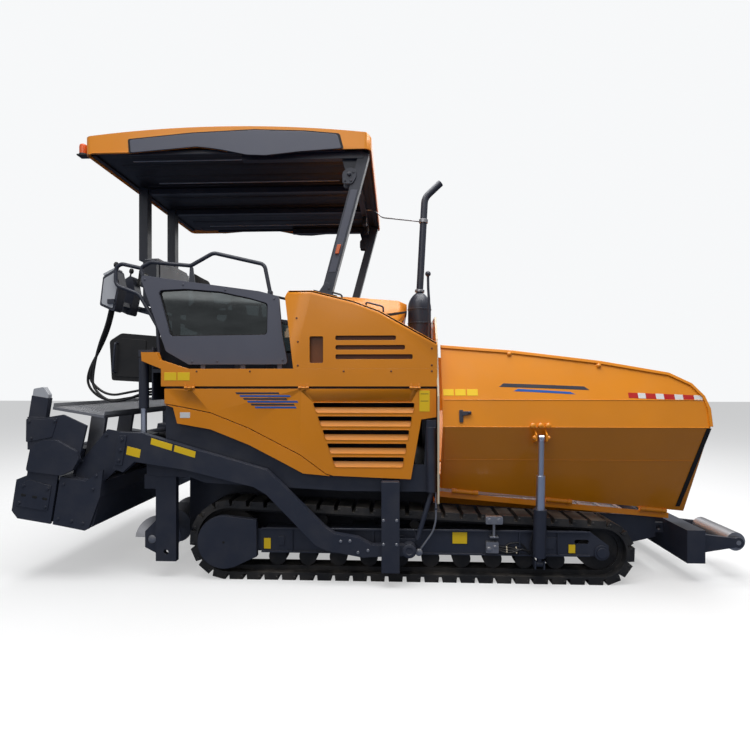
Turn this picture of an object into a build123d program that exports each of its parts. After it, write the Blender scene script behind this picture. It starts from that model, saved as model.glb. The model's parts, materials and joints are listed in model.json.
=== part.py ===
from build123d import *
import os
from math import acos, atan2, cos, degrees, hypot, pi, radians, sin, tan

# Tracked asphalt paver, in millimetres.
# X points forward to the hopper, Y to the left, Z up. The ground is Z 0.
# Right-hand pieces are drawn by their distance out from the centre plane and mirrored.

os.makedirs("parts", exist_ok=True)

# Sheet and fits
SHEET = 6            # pressed sheet metal
PLATE = 12           # structural plate
SEAT_GAP = 0.3       # between a round piece and its seat on the same body
PIN_FIT = 0.1        # radial clearance of a pin in its eye
MOVING_GAP = 8       # between pieces that pass each other

# Tracks
SPROCKET_X, SPROCKET_Z = -1310, 340
IDLER_X, IDLER_Z = 1870, 270
SHOE_COUNT = 54
SHOE_INNER, SHOE_WIDTH = 820, 300
PAD_DEPTH = 45
SHOE_PLATE = 20
CHAIN_DEPTH = 35
CHAIN_INNER, CHAIN_WIDTH = 895, 150

# Track frame and rollers
BEAM_INNER, WEB_OUT, WEB_LIP = 880, 1100, 1130
BEAM_BOX_LOW, BEAM_BOX_TOP = 285, 420
COVER_OUT, COVER_DEPTH, COVER_R = 1160, 38, 229
DRIVE_R, AXLE_R = 120, 40
BOTTOM_ROLLER_R, ROLLER_COUNT = 78, 10
ROLLER_FIRST_X, ROLLER_SPACING = -900, 268
CARRIER_R, CARRIER_X = 40, (-500, 300)

# Main frame
CHASSIS_OUT = 740
CHASSIS_REAR, CHASSIS_FRONT = -1810, 2500
FENDER_REAR = -1950
CHASSIS_LOW, FENDER_Z = 250, 900
TUNNEL_FLOOR = 260
FRAME_OUT = 1152     # outer face of the dark lower side plates
BODY_OUT = 1200      # outer face of the orange sides
BODY_REAR, BODY_FRONT = -1850, 485
BAND_LOW, BAND_TOP = 1672, 1822

# Tie-down lugs
LUG_PLATE, LUG_HOLE, LUG_Z = 25, 22, 385
NOSE_TOP = 470       # top of the plate that closes the chassis in front

# Side doors and the swoosh under them: X and Z from rear to front
BAY_OPENING = [(-600, 1010), (380, 1010), (400, 1560), (-600, 1560)]
SWOOSH_TOP = [(-1840, 1525), (-1690, 1500), (-1440, 1450), (-1110, 1320), (-670, 1095), (-450, 935)]
SWOOSH_LOW = [(-645, 935), (-865, 1050), (-1110, 1175), (-1440, 1305), (-1730, 1355), (-1765, 1490)]
DOOR_GAP = 8
DOOR_DEPTH = 35
DOOR_TOP = 1652
DOOR_AXIS = (1204, 1661)                   # distance out and Z
DOOR_PIN, DOOR_KNUCKLE = 5, 9
DOOR_HINGES = (-1620, -640, 300)
LOUVRE_COUNT = 5
LOUVRE_TOP = (-575, 305, 1550)             # rear X, front X, Z
LOUVRE_BOTTOM = (-375, 195, 978)
HOOD_CROWN_HALF, HOOD_ROUND = 990, 40
DECK_PLATE_THICKNESS = 32

# Conveyors
DECK_REAR_X, DECK_REAR_Z = -1735, 630
DECK_FRONT_X, DECK_FRONT_Z = 2400, 430
DECK_PLATE = 10
CHAIN_COVER_HALF, CHAIN_COVER_HEIGHT = 75, 70
LANE_CHAINS = (90, 670)
LANE_CHAIN_WIDTH, LANE_CHAIN_HEIGHT = 20, 22
SLAT_PITCH, SLAT_WIDTH, SLAT_HEIGHT = 180, 35, 18
DRUM_R = 75

# Hopper and wings
LEDGE_REAR_Z, LEDGE_FRONT_Z = 590, 485     # top of the chassis plates under the hopper
WALL_HALF, WALL_TOP = 1250, 2290
WING_REAR, WING_FRONT = 530, 2720
WING_SHEET = 10
FOLD_OUT, FOLD_Z = 1215, 1335
BEND_OUT, BEND_Z = 1170, 1560
RIM_OUT, RIM_Z = 985, 2035
LOWER_LEAN = 0.534                         # outward slope of the lower wing panel
HINGE_REAR_X, HINGE_REAR_Z = 560, 745
HINGE_FRONT_X, HINGE_FRONT_Z = 2640, 545
HINGE_PIN, HINGE_KNUCKLE = 12, 22
KNUCKLE_LENGTH, EAR_LENGTH = 150, 40
HINGE_SEAT = 20                            # side wall's corner below and inside the hinge line
HINGE_LIP = 15                             # lower wing edge above the hinge line
HINGE_STATIONS = (640, 1480, 2330)
WEDGE_PLATE, SKIRT = 10, 50
FLOOR_FRONT = CHASSIS_FRONT + 100
GATE_TOP = 600

# Wing cylinder
WING_BASE = (1330, 1190, 200)              # X, out, Z
WING_EYE = (1330, 1250, 1250)
WING_OPEN = 48                             # degrees that a wing lowers
BALL_EYE, BALL_GAP = 40, 16                # width of the rod's ball eye and the gap beside it
CYL_BARREL, CYL_STAGE, CYL_ROD = 52, 36, 24
EYE_R, EYE_WIDTH = 25, 54
EAR_PLATE = 12
EYE_SIDE_GAP = 3
EYE_PIN = 13
BARREL_FLOOR, BARREL_MOUTH = 80, 460
STAGE_FOOT, STAGE_MOUTH = 280, 740
ROD_FOOT = 600

# Push beam
BEAM_REAR, BEAM_FRONT = 2610, 2760
BEAM_LOW, BEAM_TOP = 170, 450
BEAM_HALF, BEAM_PIVOT_HALF = 1050, 180
ROLLER_X, ROLLER_Z, ROLLER_R = 3075, 330, 80
ROLLER_INNER, ROLLER_OUTER = 450, 950
ROLLER_AXLE = 20
ARM_PLATE = 35

# Tow point, arms and screed
TOW_X, TOW_Z = 250, 310
LIFT = 9.2                                 # degrees that the screed is raised at rest
SCREED_HALF = 1230
ARM_INNER, ARM_WIDTH = SCREED_HALF - 55, 70
TOW_PIN = 30
GUIDE_REAR, GUIDE_FRONT = 20, 170
GUIDE_LOW, GUIDE_TOP = 130, 880
GUIDE_OUT = ARM_INNER + ARM_WIDTH + 30
END_PLATE = 20
SCREED_TOP = 420
MAIN_REAR, MAIN_FRONT = -2780, -2440
EXTENSION_REAR, EXTENSION_FRONT = -3150, -2800
EXTENSION_TOP = 380
TUBE_R = 55
TUBE_Z = 565
TUBE_X = {"right": -2785, "left": -2955}
TUBE_REACH = 1050                          # how far each tube runs past the centre

# Lift cylinder
LIFT_TOP = (-2070, 1100, 1960)
LIFT_EYE = (-2070, 1100, 1215)
LIFT_BARREL, LIFT_ROD = 42, 25
LIFT_MOUTH, LIFT_ROD_LENGTH = 480, 690

# Auger
AUGER_BEAM_REAR = -2025
AUGER_X, AUGER_Z, AUGER_R = -2000, 330, 180
AUGER_SHAFT = 38
AUGER_PITCH = 240
AUGER_INNER, AUGER_OUTER = 150, 1055
AUGER_CASE = 70
FLIGHT = 14

# Operator's station and canopy
DECK_REAR_EDGE, DECK_FRONT_EDGE = -1980, -800
DECK_HALF = 1140
SCREEN_OUT, SCREEN_FRAME, GLASS = 1150, 30, 6
RAIL_R = 17
CANOPY_HALF = 1165
CANOPY_REAR, CANOPY_FRONT = -2570, -70
CANOPY_LOW, CANOPY_CREST = 3690, 3905
CANOPY_SHELL, CANOPY_CORNER = 10, 60
CANOPY_FRAME_TOP, CANOPY_RIB_HALF = 3702, 1090
POST, POST_OUT = 90, 1050
EXHAUST_X, EXHAUST_OUT = 365, 600


def save(piece, name):
    """Label a finished piece and write it to its own file."""
    piece.part.label = name
    export_step(piece.part, f"parts/{name}.step")


def save_both(piece, name):
    """Write a right-hand piece and its mirror image for the left side."""
    save(piece, f"{name}_right")
    with BuildPart() as twin:
        mirror(piece.part, about=Plane.XZ)
    save(twin, f"{name}_left")


def side(out):
    """Plane of X and Z on the right side, at a distance out from the centre."""
    return Plane.XZ.offset(out)


def screed_side(out):
    """The same plane turned with the raised screed about the tow point.

    Points on it are still given as X and Z of the screed laid on the ground.
    """
    forward = Vector(cos(radians(LIFT)), 0, -sin(radians(LIFT)))
    upward = Vector(sin(radians(LIFT)), 0, cos(radians(LIFT)))
    ground = Vector(TOW_X, 0, TOW_Z) - forward * TOW_X - upward * TOW_Z
    return Plane(origin=ground, x_dir=forward, z_dir=(0, -1, 0)).offset(out)


def slab(outline, plane, depth, radius=0, mode=Mode.ADD):
    """Extrude a closed outline from its plane outward by depth."""
    with BuildSketch(plane) as face:
        with BuildLine():
            if radius:
                FilletPolyline(*outline, radius=radius, close=True)
            else:
                Polyline(*outline, close=True)
        make_face()
    extrude(face.sketch, amount=depth, mode=mode)


def pan(outline, plane, depth, sheet=SHEET, radius=0):
    """A pressed sheet pan: an outer face with its rim turned inward."""
    slab(outline, plane, depth, radius)
    with BuildSketch(plane) as hollow:
        with BuildLine():
            if radius:
                FilletPolyline(*outline, radius=radius, close=True)
            else:
                Polyline(*outline, close=True)
        make_face()
        offset(amount=-sheet, kind=Kind.INTERSECTION, mode=Mode.REPLACE)
    extrude(hollow.sketch, amount=depth - sheet, mode=Mode.SUBTRACT)


def block(x, y, z, mode=Mode.ADD):
    """A box between its low and high limits on each axis."""
    centre = ((x[0] + x[1]) / 2, (y[0] + y[1]) / 2, (z[0] + z[1]) / 2)
    with Locations(centre):
        Box(x[1] - x[0], y[1] - y[0], z[1] - z[0], mode=mode)


def right_block(x, out, z, mode=Mode.ADD):
    """A box on the right side, its Y given as inner and outer distances."""
    block(x, (-out[1], -out[0]), z, mode)


def bar(start, end, radius, mode=Mode.ADD):
    """A round bar between two points."""
    run = Vector(*end) - Vector(*start)
    with BuildSketch(Plane(origin=start, z_dir=run)) as disc:
        Circle(radius)
    extrude(disc.sketch, amount=run.length, mode=mode)


def disc(plane, centre, radius, depth, mode=Mode.ADD):
    """A round plate or hole on a side plane."""
    with BuildSketch(plane) as face:
        with Locations(centre):
            Circle(radius)
    extrude(face.sketch, amount=depth, mode=mode)


def pipe(route, bend, radius):
    """A round tube along straight runs joined by arcs."""
    with BuildLine() as path:
        FilletPolyline(*route, radius=bend)
    with BuildSketch(Plane(origin=path.line @ 0, z_dir=path.line % 0)) as ring:
        Circle(radius)
    sweep(ring.sketch, path=path.line)


def right(point):
    """Model coordinates of a point given as X, distance out and Z."""
    return (point[0], -point[1], point[2])


# Track loops: a belt round two circles with its lower run on the ground.
TOP_ANGLE = degrees(
    atan2(IDLER_Z - SPROCKET_Z, IDLER_X - SPROCKET_X)
    + acos((SPROCKET_Z - IDLER_Z) / hypot(IDLER_X - SPROCKET_X, IDLER_Z - SPROCKET_Z))
)


def belt(plane, inset):
    """Face inside the track loop, set in from its ground line."""
    with BuildSketch(plane) as face:
        with BuildLine():
            rear = CenterArc((SPROCKET_X, SPROCKET_Z), SPROCKET_Z - inset, TOP_ANGLE, 270 - TOP_ANGLE)
            front = CenterArc((IDLER_X, IDLER_Z), IDLER_Z - inset, -90, 90 + TOP_ANGLE)
            Line(rear @ 1, front @ 0)
            Line(front @ 1, rear @ 0)
        make_face()
    return face.sketch


def shoe_places():
    """X, Z and heading of each shoe on the ground line, evenly spaced."""
    outline = belt(Plane.XY, 0).face().outer_wire()
    places = []
    for index in range(SHOE_COUNT):
        share = (index + 0.5) / SHOE_COUNT
        point = outline @ share
        heading = outline % share
        places.append((point.X, point.Y, degrees(atan2(heading.Y, heading.X))))
    return places


def inner_top_z(x):
    """Underside of the chain's upper run at a station along the track."""
    normal = radians(TOP_ANGLE)
    inset = PAD_DEPTH + SHOE_PLATE + CHAIN_DEPTH
    return SPROCKET_Z + ((SPROCKET_Z - inset) - (x - SPROCKET_X) * cos(normal)) / sin(normal)


def deck_z(x):
    """Height of the conveyor deck at a station along the machine."""
    return DECK_REAR_Z + (DECK_FRONT_Z - DECK_REAR_Z) * (x - DECK_REAR_X) / (DECK_FRONT_X - DECK_REAR_X)


def ledge_z(x):
    """Top of the chassis side plate under the hopper."""
    return LEDGE_REAR_Z + (LEDGE_FRONT_Z - LEDGE_REAR_Z) * (x - BODY_FRONT) / (CHASSIS_FRONT - BODY_FRONT)


def wing_out(z):
    """Distance out of the lower wing panel's face at a height."""
    return FOLD_OUT - LOWER_LEAN * (FOLD_Z - z)


def hinge_point(x):
    """Point of the right wing's hinge line at a station along the machine."""
    z = HINGE_REAR_Z + (HINGE_FRONT_Z - HINGE_REAR_Z) * (x - HINGE_REAR_X) / (HINGE_FRONT_X - HINGE_REAR_X)
    return (x, -wing_out(z), z)


def wing_lowered(point):
    """Where a point of the right wing lies once the wing is lowered."""
    base = Vector(*hinge_point(WING_REAR))
    hinge_way = Vector(*hinge_point(WING_FRONT)) - base
    return base + (Vector(*point) - base).rotate(Axis((0, 0, 0), hinge_way), WING_OPEN)


def across_pin(centre, offset):
    """Plane square to the wing cylinder's pins: X outward and Y up, from a point on the pin."""
    return Plane(origin=Vector(*centre) + PIN_WAY * offset, x_dir=(0, -1, 0), z_dir=-PIN_WAY)


def along(start, end, distance):
    """Point at a distance from start towards end."""
    start = Vector(*start)
    run = Vector(*end) - start
    return tuple(start + run * (distance / run.length))


# The wing cylinder swings in the plane through its foot and both places of its eye
CYLINDER_FOOT, CYLINDER_EYE = right(WING_BASE), right(WING_EYE)
PIN_WAY = (Vector(*CYLINDER_EYE) - Vector(*CYLINDER_FOOT)).cross(
    wing_lowered(CYLINDER_EYE) - Vector(*CYLINDER_FOOT)
).normalized()

# Chassis: two side plates with the conveyor tunnel between them
with BuildPart() as chassis:
    slab(
        [
            (CHASSIS_REAR, CHASSIS_LOW + 60),
            (CHASSIS_REAR, FENDER_Z),
            (BODY_FRONT, FENDER_Z),
            (BODY_FRONT, ledge_z(BODY_FRONT)),
            (CHASSIS_FRONT, ledge_z(CHASSIS_FRONT)),
            (CHASSIS_FRONT, CHASSIS_LOW + 50),
            (CHASSIS_FRONT - 200, CHASSIS_LOW),
            (CHASSIS_REAR + 250, CHASSIS_LOW),
        ],
        side(CHASSIS_OUT - PLATE),
        PLATE,
    )
    # Tie-down lug at the front end of the plate
    right_block(
        (CHASSIS_FRONT - 1, CHASSIS_FRONT + 70),
        (CHASSIS_OUT - LUG_PLATE, CHASSIS_OUT),
        (LUG_Z - 45, LUG_Z + 45),
    )
    disc(side(CHASSIS_OUT - LUG_PLATE - 1), (CHASSIS_FRONT + 30, LUG_Z), LUG_HOLE, LUG_PLATE + 2, Mode.SUBTRACT)
    mirror(about=Plane.XZ)
    inner = CHASSIS_OUT - PLATE
    block((CHASSIS_REAR, BODY_FRONT), (-inner, inner), (FENDER_Z - PLATE, FENDER_Z))
    block((CHASSIS_REAR + 250, CHASSIS_FRONT - 200), (-inner, inner), (CHASSIS_LOW, CHASSIS_LOW + PLATE))
    block((CHASSIS_FRONT - PLATE, CHASSIS_FRONT), (-inner, inner), (CHASSIS_LOW + 50, NOSE_TOP))
save(chassis, "chassis")

# Conveyors: two lanes of slats on chains, with a covered chain case between them
with BuildPart() as conveyors:
    inner = CHASSIS_OUT - PLATE

    def deck_strip(low, high, plane, depth, rear=DECK_REAR_X, front=DECK_FRONT_X):
        """A strip along the deck between two heights above it."""
        slab(
            [
                (rear, deck_z(rear) + low),
                (rear, deck_z(rear) + high),
                (front, deck_z(front) + high),
                (front, deck_z(front) + low),
            ],
            plane,
            depth,
        )

    deck_strip(-DECK_PLATE, 0, side(-inner), 2 * inner)
    deck_strip(0, CHAIN_COVER_HEIGHT, side(-CHAIN_COVER_HALF), 2 * CHAIN_COVER_HALF)
    lane_width = LANE_CHAINS[1] + LANE_CHAIN_WIDTH - LANE_CHAINS[0]
    for lane in (LANE_CHAINS[0], -LANE_CHAINS[0] - lane_width):
        deck_strip(0, LANE_CHAIN_HEIGHT, side(lane), LANE_CHAIN_WIDTH)
        deck_strip(0, LANE_CHAIN_HEIGHT, side(lane + lane_width - LANE_CHAIN_WIDTH), LANE_CHAIN_WIDTH)
        slat = DECK_FRONT_X - SLAT_WIDTH
        while slat > BODY_FRONT:
            deck_strip(0, SLAT_HEIGHT, side(lane), lane_width, slat, slat + SLAT_WIDTH)
            slat -= SLAT_PITCH
        slat = DECK_REAR_X + SLAT_WIDTH
        while slat < DECK_REAR_X + 3 * SLAT_PITCH:
            deck_strip(0, SLAT_HEIGHT, side(lane), lane_width, slat, slat + SLAT_WIDTH)
            slat += SLAT_PITCH
        for x in (DECK_REAR_X, DECK_FRONT_X):
            disc(side(lane), (x, deck_z(x) - DRUM_R), DRUM_R, lane_width)
save(conveyors, "conveyors")

# Track: one loop with its shoes in its outline, and the chain inside them
with BuildPart() as track:
    with BuildSketch(side(SHOE_INNER)) as shoes:
        add(belt(Plane.XY, PAD_DEPTH))
        for x, z, heading in shoe_places():
            with Locations(Location((x, z, 0), (0, 0, heading))):
                with Locations((0, PAD_DEPTH / 2 + 1)):
                    Trapezoid(126, PAD_DEPTH + 2, 84, rotation=180)
        add(belt(Plane.XY, PAD_DEPTH + SHOE_PLATE), mode=Mode.SUBTRACT)
        # No shoe reaches below the ground where the loop starts to rise
        with Locations((0, 1000)):
            Rectangle(6000, 2000, mode=Mode.INTERSECT)
    extrude(amount=SHOE_WIDTH)
    extrude(belt(side(CHAIN_INNER), PAD_DEPTH + SHOE_PLATE - 1), amount=CHAIN_WIDTH)
    extrude(belt(side(CHAIN_INNER), PAD_DEPTH + SHOE_PLATE + CHAIN_DEPTH), amount=CHAIN_WIDTH, mode=Mode.SUBTRACT)
save_both(track, "track")

# Track frame: box beam with an outer channel, the final drive and its round cover
with BuildPart() as track_frame:
    chain_mid = CHAIN_INNER + CHAIN_WIDTH / 2
    right_block((-1020, 1650), (BEAM_INNER, WEB_OUT), (BEAM_BOX_LOW, BEAM_BOX_TOP))
    slab(
        [(-1020, 240), (-1020, 450), (1770, 450), (1930, 330), (1930, 240)],
        side(WEB_OUT),
        PLATE,
    )
    for low, high in ((240, 252), (438, 450)):
        right_block((-1020, 1770), (WEB_OUT + PLATE, WEB_LIP), (low, high))
    with BuildSketch(side(WEB_OUT - 1)) as slots:
        with Locations((1705, 360)):
            SlotOverall(120, 36)
        with Locations((700, 395)):
            Rectangle(85, 50)
    extrude(slots.sketch, amount=PLATE + 1, mode=Mode.SUBTRACT)
    for x in (-250, 1100):
        right_block((x, x + 200), (CHASSIS_OUT, BEAM_INNER), (BEAM_BOX_LOW, BEAM_BOX_TOP))
    # Final drive housing through the sprocket, and its cover outside the shoes
    disc(side(CHASSIS_OUT), (SPROCKET_X, SPROCKET_Z), DRIVE_R, COVER_OUT - COVER_DEPTH - CHASSIS_OUT)
    with BuildSketch(side(COVER_OUT - COVER_DEPTH)) as cover:
        with Locations((SPROCKET_X - 30, SPROCKET_Z - 8)):
            Circle(COVER_R)
        with Locations((SPROCKET_X + COVER_R + 60, SPROCKET_Z)):
            Rectangle(60, 2 * COVER_R, mode=Mode.SUBTRACT)
    extrude(cover.sketch, amount=COVER_DEPTH)
    right_block((-1140, -1020), (WEB_OUT, WEB_OUT + PLATE), (250, 440))
    # Idler axle and its arm
    disc(side(WEB_OUT - 1), (IDLER_X, IDLER_Z), 62, PLATE + 12)
    disc(side(BEAM_INNER - 30), (IDLER_X, IDLER_Z), AXLE_R, WEB_OUT + 1 - BEAM_INNER + 30)
    # Bracket that carries the wing cylinder's foot
    web, lip = WEB_OUT + PLATE - 4 - WING_BASE[1], WEB_LIP - WING_BASE[1]
    ear_half = EYE_WIDTH / 2 + EYE_SIDE_GAP
    for near in (-ear_half, ear_half + EAR_PLATE):
        slab(
            [(web, -40), (EYE_R + 5, -40), (EYE_R + 5, 32), (lip, 32), (lip, 90), (web, 90)],
            across_pin(CYLINDER_FOOT, near),
            EAR_PLATE,
        )
    disc(across_pin(CYLINDER_FOOT, ear_half + 1), (0, 0), EYE_PIN, 2 * ear_half + 2)
    mirror(about=Plane.XZ)
save(track_frame, "track_frames")

# Rollers, idler and sprocket inside the chain
with BuildPart() as rollers:
    inside = PAD_DEPTH + SHOE_PLATE + CHAIN_DEPTH
    for index in range(ROLLER_COUNT):
        x = ROLLER_FIRST_X + index * ROLLER_SPACING
        disc(side(CHAIN_INNER + 10), (x, inside + SEAT_GAP + BOTTOM_ROLLER_R), BOTTOM_ROLLER_R, CHAIN_WIDTH - 20)
        top = inside + SEAT_GAP + BOTTOM_ROLLER_R
        disc(side(CHAIN_INNER + 40), (x, top), BOTTOM_ROLLER_R - 18, CHAIN_WIDTH - 80)
        right_block((x - 40, x + 40), (CHAIN_INNER - 12, CHAIN_INNER + 11), (top - 30, BEAM_BOX_LOW))
    for x in CARRIER_X:
        z = inner_top_z(x) - SEAT_GAP - CARRIER_R
        disc(side(CHAIN_INNER + 10), (x, z), CARRIER_R, CHAIN_WIDTH - 20)
        right_block((x - 20, x + 20), (CHAIN_INNER - 12, CHAIN_INNER + 11), (BEAM_BOX_TOP, z + 15))
    with BuildSketch(side(CHAIN_INNER + 20)) as idler:
        with Locations((IDLER_X, IDLER_Z)):
            Circle(IDLER_Z - inside - SEAT_GAP)
            Circle(AXLE_R + SEAT_GAP, mode=Mode.SUBTRACT)
    extrude(idler.sketch, amount=CHAIN_WIDTH - 40)
    with BuildSketch(side(CHAIN_INNER + 45)) as sprocket:
        with Locations((SPROCKET_X, SPROCKET_Z)):
            Circle(SPROCKET_Z - inside - SEAT_GAP)
            Circle(DRIVE_R + SEAT_GAP, mode=Mode.SUBTRACT)
    extrude(sprocket.sketch, amount=CHAIN_WIDTH - 90)
    mirror(about=Plane.XZ)
save(rollers, "track_rollers")

# Hopper frame: rear wall, sloped side floors with the hinge line, and the front gate
with BuildPart() as hopper_frame:
    wall = [
        (CHASSIS_OUT - PLATE - 13, LEDGE_REAR_Z),
        (CHASSIS_OUT + 10, LEDGE_REAR_Z + 60),
        (WALL_HALF, 700),
        (WALL_HALF, BEND_Z + 30),
        (RIM_OUT + 90, RIM_Z + 45),
        (900, WALL_TOP),
        (0, WALL_TOP),
        (0, FENDER_Z),
        (CHASSIS_OUT - PLATE - 13, FENDER_Z),
    ]
    with BuildSketch(Plane.YZ.offset(BODY_FRONT)) as rear_wall:
        with BuildLine():
            Polyline(*[(-out, z) for out, z in wall], close=True)
        make_face()
        mirror(about=Plane.YZ)
    extrude(rear_wall.sketch, amount=PLATE)
    sections = []
    for x in (BODY_FRONT + PLATE, FLOOR_FRONT):
        hinge = hinge_point(x)
        out, z = -hinge[1] - HINGE_SEAT, hinge[2] - HINGE_SEAT
        ledge = ledge_z(min(x, CHASSIS_FRONT))
        outline = [
            (CHASSIS_OUT - PLATE - 13, ledge),
            (CHASSIS_OUT, ledge),
            (out - WEDGE_PLATE, z - WEDGE_PLATE - 6),
            (out - WEDGE_PLATE, z - SKIRT),
            (out, z - SKIRT),
            (out, z),
            (CHASSIS_OUT, ledge + WEDGE_PLATE),
            (CHASSIS_OUT - PLATE - 13, ledge + WEDGE_PLATE),
        ]
        with BuildSketch(Plane.YZ.offset(x)) as section:
            with BuildLine():
                Polyline(*[(-o, h) for o, h in outline], close=True)
            make_face()
        sections.append(section.sketch.face())
    loft(sections, ruled=True)
    # Hinge ears and pins
    for x in HINGE_STATIONS:
        start, end = hinge_point(x), hinge_point(x + KNUCKLE_LENGTH + 2 * EAR_LENGTH + 4)
        bar(start, end, HINGE_PIN)
        length = (Vector(*end) - Vector(*start)).length
        for low, high in ((0, EAR_LENGTH), (length - EAR_LENGTH, length)):
            bar(along(start, end, low), along(start, end, high), HINGE_KNUCKLE)
            middle = along(start, end, (low + high) / 2)
            right_block(
                (middle[0] - EAR_LENGTH / 2 + 3, middle[0] + EAR_LENGTH / 2 - 3),
                (-middle[1] - HINGE_SEAT - WEDGE_PLATE + 2, -middle[1] - 5),
                (middle[2] - HINGE_SEAT - 12, middle[2] - 12),
            )
    mirror(about=Plane.XZ)
    # Gate across the front of the floor
    block(
        (CHASSIS_FRONT - PLATE, CHASSIS_FRONT),
        (-CHASSIS_OUT, CHASSIS_OUT),
        (ledge_z(CHASSIS_FRONT) + WEDGE_PLATE - 1, GATE_TOP),
    )
save(hopper_frame, "hopper_frame")

# Hopper wing: a bent sheet, trimmed to its curved rim, with hinge knuckles
wing_rim = [
    (WING_REAR, 700),
    (WING_REAR, RIM_Z),
    (1150, 1985),
    (1880, 1892),
    (2437, 1790),
    (2605, 1700),
    (2686, 1595),
    (2718, 1490),
    (2718, 1400),
    (2700, FOLD_Z),
    (WING_FRONT, 500),
]
with BuildPart() as wing:
    with BuildSketch(Plane.YZ.offset(WING_REAR)) as sheet:
        with BuildLine():
            Polyline(
                (-wing_out(500), 500),
                (-FOLD_OUT, FOLD_Z),
                (-BEND_OUT, BEND_Z),
                (-RIM_OUT, RIM_Z),
            )
            offset(amount=WING_SHEET, side=Side.RIGHT, kind=Kind.INTERSECTION)
        make_face()
    extrude(sheet.sketch, amount=WING_FRONT - WING_REAR + 40)
    slab(wing_rim, side(600), 900, mode=Mode.INTERSECT)
    # Lower edge runs just above the hinge line
    rear, front = hinge_point(WING_REAR - 50), hinge_point(WING_FRONT + 100)
    slab(
        [(rear[0], rear[2] + HINGE_LIP), (front[0], front[2] + HINGE_LIP), (front[0], 300), (rear[0], 300)],
        side(600),
        900,
        mode=Mode.SUBTRACT,
    )
    for x in HINGE_STATIONS:
        start, end = hinge_point(x), hinge_point(x + KNUCKLE_LENGTH + 2 * EAR_LENGTH + 4)
        low = EAR_LENGTH + 2
        for ear in (-5, low + KNUCKLE_LENGTH + 1):
            bar(along(start, end, ear), along(start, end, ear + low + 5), HINGE_KNUCKLE + 4, Mode.SUBTRACT)
        bar(along(start, end, low), along(start, end, low + KNUCKLE_LENGTH), HINGE_KNUCKLE)
        bar(start, end, HINGE_PIN + PIN_FIT, Mode.SUBTRACT)
    # Fork that the wing cylinder pushes on, with the ball ends of its pin
    panel_low = wing_out(WING_EYE[2] - 60) - 4 - WING_EYE[1]
    panel_top = wing_out(WING_EYE[2] + 60) - 4 - WING_EYE[1]
    fork_half = BALL_EYE / 2 + BALL_GAP
    for near in (-fork_half, fork_half + EAR_PLATE):
        slab(
            [(panel_low, -60), (EYE_R, -25), (EYE_R, 30), (panel_top, 60)],
            across_pin(CYLINDER_EYE, near),
            EAR_PLATE,
        )
    fork_out = fork_half + EAR_PLATE
    for cap, reach in ((EYE_R - 3, 12), (EYE_R - 9, 20)):
        for near in (-fork_out + 1, fork_out + reach):
            disc(across_pin(CYLINDER_EYE, near), (0, 0), cap, reach + 1)
save_both(wing, "wing")

# Wing cylinder: barrel, middle stage and rod along the line from foot to eye
reach = (Vector(*CYLINDER_EYE) - Vector(*CYLINDER_FOOT)).length


def wing_cylinder(low, high, radius, mode=Mode.ADD):
    """A round length of the wing cylinder between two distances from its foot."""
    start = along(CYLINDER_FOOT, CYLINDER_EYE, low)
    bar(start, along(CYLINDER_FOOT, CYLINDER_EYE, high), radius, mode)


with BuildPart() as wing_barrel:
    wing_cylinder(20, 80, 22)
    wing_cylinder(60, BARREL_MOUTH, CYL_BARREL)
    wing_cylinder(BARREL_FLOOR, BARREL_MOUTH, CYL_STAGE + PIN_FIT, Mode.SUBTRACT)
    disc(across_pin(CYLINDER_FOOT, EYE_WIDTH / 2), (0, 0), EYE_R, EYE_WIDTH)
    disc(across_pin(CYLINDER_FOOT, EYE_WIDTH), (0, 0), EYE_PIN + PIN_FIT, 2 * EYE_WIDTH, Mode.SUBTRACT)
save_both(wing_barrel, "wing_barrel")

with BuildPart() as wing_stage:
    wing_cylinder(STAGE_FOOT, STAGE_MOUTH, CYL_STAGE)
    wing_cylinder(STAGE_FOOT, STAGE_MOUTH, CYL_ROD + PIN_FIT, Mode.SUBTRACT)
save_both(wing_stage, "wing_stage")

with BuildPart() as wing_rod:
    wing_cylinder(ROD_FOOT, reach - EYE_R / 2, CYL_ROD)
    disc(across_pin(CYLINDER_EYE, BALL_EYE / 2), (0, 0), EYE_R, BALL_EYE)
save_both(wing_rod, "wing_rod")

# Push beam with the two rollers that meet a lorry's wheels
with BuildPart() as push_beam:
    right_block((BEAM_REAR, BEAM_FRONT), (-1, BEAM_HALF), (BEAM_LOW, BEAM_TOP))
    right_block((CHASSIS_FRONT, BEAM_REAR + 1), (-1, BEAM_PIVOT_HALF), (BEAM_LOW + 60, NOSE_TOP - 40))
    for out in (ROLLER_INNER - ARM_PLATE - 5, ROLLER_OUTER + 5):
        with BuildSketch(side(out)) as arm:
            with BuildLine():
                Polyline(
                    (BEAM_FRONT - 1, ROLLER_Z - 90),
                    (BEAM_FRONT - 1, ROLLER_Z + 70),
                    (ROLLER_X - 20, ROLLER_Z + 38),
                    (ROLLER_X - 20, ROLLER_Z - 38),
                    close=True,
                )
            make_face()
            with Locations((ROLLER_X, ROLLER_Z)):
                Circle(44)
                Circle(ROLLER_AXLE + PIN_FIT, mode=Mode.SUBTRACT)
        extrude(arm.sketch, amount=ARM_PLATE)
    mirror(about=Plane.XZ)
save(push_beam, "push_beam")

with BuildPart() as push_roller:
    disc(side(ROLLER_INNER), (ROLLER_X, ROLLER_Z), ROLLER_R, ROLLER_OUTER - ROLLER_INNER)
    disc(
        side(ROLLER_INNER - ARM_PLATE - 5),
        (ROLLER_X, ROLLER_Z),
        ROLLER_AXLE,
        ROLLER_OUTER - ROLLER_INNER + 2 * ARM_PLATE + 10,
    )
save_both(push_roller, "push_roller")

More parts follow.
